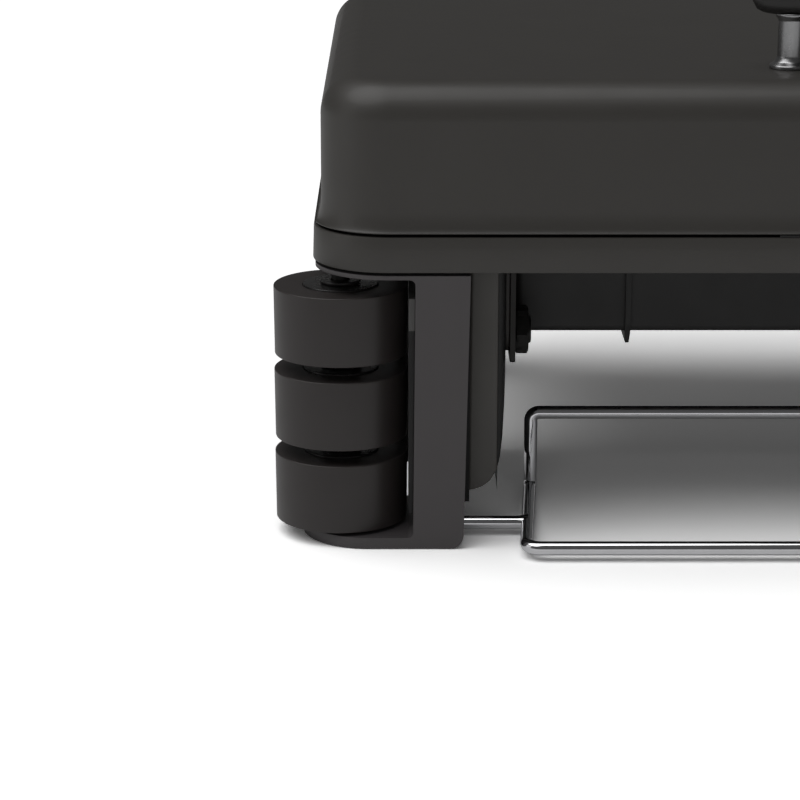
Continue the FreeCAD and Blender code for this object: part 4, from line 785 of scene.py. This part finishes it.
@dataclass
class Pods:
    """Side pods with their covers, the bolt groups, the board, the switch and the inlet."""

    axis_y: float = -120.0
    axis_z: float = 85.6
    nut_flats: float = 19.0
    nut_start: float = 153.4
    nut_end: float = 147.5
    nut_chamfer: float = 0.7
    bolt_radius: float = 6.1
    outer_x: float = -206.0
    tongue_x: float = -173.0
    seam_x: float = -161.0
    inner_x: float = -157.6
    front_y: float = -138.0
    step_y: float = -104.6
    rear_y: float = -15.0
    bottom: float = 18.0
    top: float = 120.6
    lower_round: float = 15.0
    lean: float = 0.7
    soft: tuple[float, ...] = (3.0, 0.5, 1.5, 5.5, 3.0, 3.0)
    taper: tuple[tuple[float, float], ...] = (
        (18.0, 18.0), (18.2, 14.0), (19.5, 10.0), (22.0, 6.5), (27.0, 3.6), (32.5, 2.1), (41.6, 1.1), (55.0, 0.4),
        (70.0, 0.0), (120.6, 0.0),
    )
    body: str = "chassis"

    def inset_at(self, z: float) -> float:
        """How far the pod's inner side lies back at a height, read from the taper."""
        for (low, first), (high, last) in zip(self.taper, self.taper[1:]):
            if z <= high:
                return first + (last - first) * (z - low) / (high - low)
        return 0.0

    def outer_inset_at(self, z: float) -> float:
        """How far the pod's outer side lies back at a height, from the rounded lower corner."""
        depth = max(self.lower_round - (z - self.bottom), 0.0)
        return self.lower_round - math.sqrt(max(self.lower_round ** 2 - depth ** 2, 0.0))

    def plan(self) -> list[tuple[float, float]]:
        """Plan of the left pod with its cover on, each corner rounded by its own radius."""
        corners = [(self.outer_x, self.step_y), (self.tongue_x, self.step_y), (self.tongue_x, self.front_y),
                   (self.inner_x, self.front_y), (self.inner_x, self.rear_y), (self.outer_x, self.rear_y)]
        points = []
        for index, corner in enumerate(corners):
            here = Vector(corner)
            before = (Vector(corners[index - 1]) - here).normalized() * self.soft[index]
            after = (Vector(corners[(index + 1) % len(corners)]) - here).normalized() * self.soft[index]
            centre = here + before + after
            for step in range(9):
                angle = math.pi / 2.0 * step / 8.0
                point = centre - after * math.cos(angle) - before * math.sin(angle)
                points.append((point.x, point.y))
        return points

    def build_shell(self, node: str, name: str, finish: Finish, slot_name: str, side: int,
                    limits: tuple[float, float]) -> None:
        """Build the part of a pod between two X limits, as a skin lofted from its base to its top.

        Args:
            node: The CAD node that the piece stands for.
            name: The piece's name.
            finish: The piece's finish.
            slot_name: Not used.
            side: Minus one for the left pod, plus one for the right.
            limits: Lowest and highest X kept, for the left pod.
        """
        heights = [self.bottom + self.lower_round * (1.0 - math.cos(math.pi / 2.0 * step / 16)) for step in range(17)]
        heights += [36.0, 41.6, 48.0, 55.0, 62.0, 70.0, self.top]
        rings = []
        for z in heights:
            low = max(limits[0], self.outer_x + self.outer_inset_at(z))
            high = min(limits[1], self.inner_x - self.inset_at(z))
            shift = self.lean * (self.top - z) / (self.top - self.bottom)
            ring = []
            for x, y in self.plan():
                leaning = x - shift if abs(x - self.tongue_x) < 2.0 else x
                ring.append((-side * min(max(leaning, low), max(high, low + 0.05)), y, z))
            rings.append(ring)
        shell = finish_mesh(loft(rings, cap_first=True, cap_last=True), name, finish, self.body, 40.0)
        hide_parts(node)

    def on_axis(self, x: float, reach: float, angle: float) -> tuple[float, float, float]:
        """A point at a distance from the bolt's axis, at an angle from straight back."""
        return (x, self.axis_y + reach * math.cos(angle), self.axis_z + reach * math.sin(angle))

    def build_nut(self, side: int, word: str) -> None:
        """Build one hexagon nut with its corners turned off by a cone, and its bore round the bolt.

        Args:
            side: Minus one on the left, plus one on the right.
            word: The side's name.
        """
        flat = self.nut_flats / 2.0
        segments = 72
        levels = ((self.nut_start, True), (self.nut_start - self.nut_chamfer, False),
                  (self.nut_end + self.nut_chamfer, False), (self.nut_end, True))
        rings = []
        for x, turned in levels:
            ring = []
            for step in range(segments):
                angle = 2.0 * math.pi * step / segments
                reach = flat / math.cos(angle % (math.pi / 3.0) - math.pi / 6.0)
                reach = min(reach, flat) if turned else reach
                ring.append(self.on_axis(side * x, reach, angle + math.pi / 3.0))
            rings.append(ring)
        for x in (self.nut_end, self.nut_start):
            turns = (2.0 * math.pi * step / segments + math.pi / 3.0 for step in range(segments))
            rings.append([self.on_axis(side * x, self.bolt_radius, angle) for angle in turns])
        nut = finish_mesh(loft(rings, closed=True), "pod_nut_" + word, Finishes.oxide, self.body, 20.0)
        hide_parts("pod_nuts")

    def build(self) -> None:
        """Build the bolt groups and dress the pods."""
        for side, word in ((-1, "left"), (1, "right")):
            self.build_nut(side, word)
        dress("pod_bolts", Finishes.oxide, 0.5)
        dress("pod_lugs", Finishes.lug, 0.3)
        dress("pod_straps", Finishes.oxide, 0.3)
        housing = (self.outer_x, self.seam_x)
        cover = (self.seam_x + 0.1, self.inner_x)
        self.build_shell("control_pod", "control_pod_housing", Finishes.pod, "pod_plastic", -1, housing)
        dress("power_pod", Finishes.pod, 0.8)
        self.build_shell("control_pod_cover", "control_pod_lid", Finishes.cover, "cover_plastic", -1, cover)
        self.build_shell("power_pod_cover", "power_pod_lid", Finishes.cover, "cover_plastic", 1, cover)
        dress("control_board", Finishes.board, 0.0)
        dress("switch_housing", Finishes.switch, 0.4)
        dress("power_rocker", Finishes.rocker, 0.4)
        dress("inlet_socket", Finishes.switch, 0.4)
        dress("inlet_pins", Finishes.pins, 0.3)


@dataclass
class Rack:
    """Chromed wire rack: a low loop in front, uprights behind, and a welded stub to each leg."""

    wire: float = 3.0
    front_y: float = -179.9
    back_y: float = -93.0
    front_half: float = 149.6
    back_half: float = 144.3
    low: float = 5.6
    high: float = 40.3
    front_bend: float = 6.0
    back_bend: float = 3.6
    stub_y: float = -145.0
    stub_end: float = 181.9
    weld: float = 1.1
    body: str = "chassis"

    def build(self) -> None:
        """Build the loop, the stubs and their weld beads."""
        corners = [
            Vector((-self.front_half, self.front_y, self.low)),
            Vector((self.front_half, self.front_y, self.low)),
            Vector((self.back_half, self.back_y, self.low)),
            Vector((self.back_half, self.back_y, self.high)),
            Vector((-self.back_half, self.back_y, self.high)),
            Vector((-self.back_half, self.back_y, self.low)),
        ]
        bends = [self.front_bend] * 2 + [self.back_bend] * 4
        mesh = tube(bent_path(corners, bends, True, 14), self.wire, True)
        loop = finish_mesh(mesh, "rack_loop_chromed", Finishes.chrome, self.body)
        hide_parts("wire_rack")
        share = (self.stub_y - self.front_y) / (self.back_y - self.front_y)
        rod_x = self.front_half + (self.back_half - self.front_half) * share
        for side, word in ((-1, "left"), (1, "right")):
            start = Vector((side * self.stub_end, self.stub_y, self.low))
            near = Vector((side * (rod_x + self.wire + self.weld * 2.0), self.stub_y, self.low))
            bead = Vector((side * (rod_x + self.wire * 0.8), self.stub_y, self.low))
            end = Vector((side * rod_x, self.stub_y, self.low))
            mesh = tube([start, start.lerp(near, 0.5), near], self.wire - 0.05, False)
            stub = finish_mesh(mesh, "rack_stub_" + word, Finishes.chrome, self.body)
            profile = []
            length = (near - end).length
            for step in range(9):
                along = step / 8.0
                swell = self.wire - 0.05 + self.weld * (1.0 - along) ** 2
                profile.append((swell, length * along))
            profile += [(0.4, length), (0.4, 0.0)]
            mesh = lathe(profile, end, Vector((side, 0, 0)), 40)
            weld = finish_mesh(mesh, "rack_weld_" + word, Finishes.chrome, self.body)
            LOG.info("rack stub %s from %s to %s", word, tuple(start), tuple(bead))


@dataclass
class Cup:
    """Deep-drawn grease cup with a rolled rim and two grooves."""

    centre_x: float = 228.4
    centre_y: float = -135.0
    base: float = 5.4
    top: float = 109.3
    radius: float = 28.6
    wall: float = 1.6
    floor: float = 2.0
    groove: float = 0.8
    groove_levels: tuple[float, ...] = (36.3, 72.8)
    groove_height: float = 3.35

    def build(self) -> None:
        """Build the cup as one turned skin."""
        outer = [(0.3, self.base), (self.radius - 1.5, self.base), (self.radius, self.base + 1.5)]
        for level in self.groove_levels:
            middle = level + self.groove_height / 2.0
            outer += [(self.radius, level - 0.3), (self.radius - self.groove * 0.8, level + 0.5),
                      (self.radius - self.groove, middle),
                      (self.radius - self.groove * 0.8, level + self.groove_height - 0.5),
                      (self.radius, level + self.groove_height + 0.3)]
        inner = self.radius - self.wall
        rim = [(self.radius, self.top - 1.4), (self.radius - 0.25, self.top - 0.5), (self.radius - 0.8, self.top),
               (inner + 0.25, self.top - 0.3), (inner, self.top - 1.0)]
        bowl = [(inner, self.base + self.floor + 3.0), (inner - 1.0, self.base + self.floor + 0.9),
                (inner - 3.0, self.base + self.floor), (0.3, self.base + self.floor)]
        mesh = lathe(outer + rim + bowl, Vector((self.centre_x, self.centre_y, 0)), Vector((0, 0, 1)), 128)
        cup = finish_mesh(mesh, "grease_cup_drawn", Finishes.cup, "cup_body", 40.0)
        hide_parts("grease_cup")


# ------------------------------------------------------------------ stage, light and camera
@dataclass
class Studio:
    """Pale floor, soft lamps and the camera."""

    camera_at: tuple[float, float, float] = (-203.0, -1244.0, 369.5)
    pitch_deg: float = 15.7
    lens_mm: float = 120.15
    floor_half: float = 6000.0
    floor_bounce: float = 0.8
    floor_seen: float = 1.5
    sun_from: tuple[float, float, float] = (-0.4, -0.1, 1.0)
    sun_angle_deg: float = 62.0
    sun_strength: float = 1.9
    world_level: float = 0.15
    mirror_level: float = 0.08

    def build_floor(self) -> None:
        """Lay a pale floor that stays white behind the object and keeps its shadow."""
        mesh = bmesh.new()
        half = self.floor_half * MM
        corners = [mesh.verts.new((x * half, y * half, 0.0)) for x, y in ((-1, -1), (1, -1), (1, 1), (-1, 1))]
        mesh.faces.new(corners)
        data = bpy.data.meshes.new("studio_floor")
        mesh.to_mesh(data)
        mesh.free()
        floor = bpy.data.objects.new("studio_floor", data)
        bpy.context.scene.collection.objects.link(floor)
        material = bpy.data.materials.new("floor_matt_white_paper")
        material.use_nodes = True
        tree = material.node_tree
        tree.nodes.clear()
        path = add_node(tree, "ShaderNodeLightPath")
        level = add_node(tree, "ShaderNodeMapRange", {"To Min": self.floor_bounce, "To Max": self.floor_seen},
                         {"Value": path.outputs["Is Camera Ray"]})
        paper = add_node(tree, "ShaderNodeBsdfDiffuse", {}, {"Color": level.outputs["Result"]})
        add_node(tree, "ShaderNodeOutputMaterial", {}, {"Surface": paper.outputs[0]})
        data.materials.append(material)

    def build_world(self) -> None:
        """White surroundings for the eye and through glass, a dim grey in mirrors, and a lower level of light on the
        object.
        """
        world = bpy.data.worlds.new("studio_world")
        bpy.context.scene.world = world
        world.use_nodes = True
        tree = world.node_tree
        tree.nodes.clear()
        path = add_node(tree, "ShaderNodeLightPath")
        mirrored = add_node(tree, "ShaderNodeMapRange", {"To Min": self.world_level, "To Max": self.mirror_level},
                            {"Value": path.outputs["Is Glossy Ray"]})
        first = add_node(tree, "ShaderNodeMath", {"operation": "MAXIMUM"})
        tree.links.new(path.outputs["Is Camera Ray"], first.inputs[0])
        tree.links.new(path.outputs["Is Transmission Ray"], first.inputs[1])
        level = add_node(tree, "ShaderNodeMapRange", {"To Max": 1.0},
                         {"Value": first.outputs[0], "To Min": mirrored.outputs["Result"]})
        shade = add_node(tree, "ShaderNodeBackground", {"Color": (1.0, 1.0, 1.0, 1.0)},
                         {"Strength": level.outputs["Result"]})
        add_node(tree, "ShaderNodeOutputWorld", {}, {"Surface": shade.outputs[0]})

    def add_lamp(self, name: str, place: tuple[float, float, float], target: tuple[float, float, float],
                 size: float, watts: float, in_mirrors: bool = True) -> None:
        """Add one soft square lamp that points at a target.

        Args:
            name: The lamp's name.
            place: Its place in millimetres.
            target: The point it faces, in millimetres.
            size: Its edge length in millimetres.
            watts: Its power.
            in_mirrors: True if glossy surfaces show the lamp.
        """
        lamp = bpy.data.lights.new(name, "AREA")
        lamp.shape = "SQUARE"
        lamp.size = size * MM
        lamp.energy = watts
        holder = bpy.data.objects.new(name, lamp)
        bpy.context.scene.collection.objects.link(holder)
        holder.location = Vector(place) * MM
        holder.rotation_mode = "QUATERNION"
        holder.rotation_quaternion = (Vector(target) - Vector(place)).to_track_quat("-Z", "Y")
        holder.visible_glossy = in_mirrors

    def build(self) -> None:
        """Set the floor, the surroundings, the lamps and the camera."""
        self.build_floor()
        self.build_world()
        sun = bpy.data.lights.new("lamp_key", "SUN")
        sun.energy = self.sun_strength
        sun.angle = math.radians(self.sun_angle_deg)
        holder = bpy.data.objects.new("lamp_key", sun)
        bpy.context.scene.collection.objects.link(holder)
        holder.rotation_mode = "QUATERNION"
        holder.rotation_quaternion = (-Vector(self.sun_from)).to_track_quat("-Z", "Y")
        self.add_lamp("lamp_left", (-1700.0, -500.0, 500.0), (-200.0, -100.0, 80.0), 900.0, 1.4)
        self.add_lamp("lamp_front", (-100.0, -2200.0, 500.0), (-100.0, 0.0, 100.0), 1400.0, 6.5, False)
        eye = bpy.data.cameras.new("camera")
        eye.lens = self.lens_mm
        eye.sensor_width = 36.0
        eye.clip_start = 0.05
        eye.clip_end = 50.0
        holder = bpy.data.objects.new("camera", eye)
        bpy.context.scene.collection.objects.link(holder)
        holder.location = Vector(self.camera_at) * MM
        holder.rotation_euler = (math.radians(90.0 - self.pitch_deg), 0.0, 0.0)
        bpy.context.scene.camera = holder
        bpy.context.scene.view_settings.view_transform = "Standard"


def main() -> None:
    """Build every sub-assembly in order and report each one."""
    logging.basicConfig(level=logging.INFO)
    for assembly in (Lid(), Base(), Legs(), DialStack(), Pods(), Rack(), Cup(), Studio()):
        assembly.build()
        LOG.info("built %s", type(assembly).__name__)


if __name__ == "__main__":
    main()
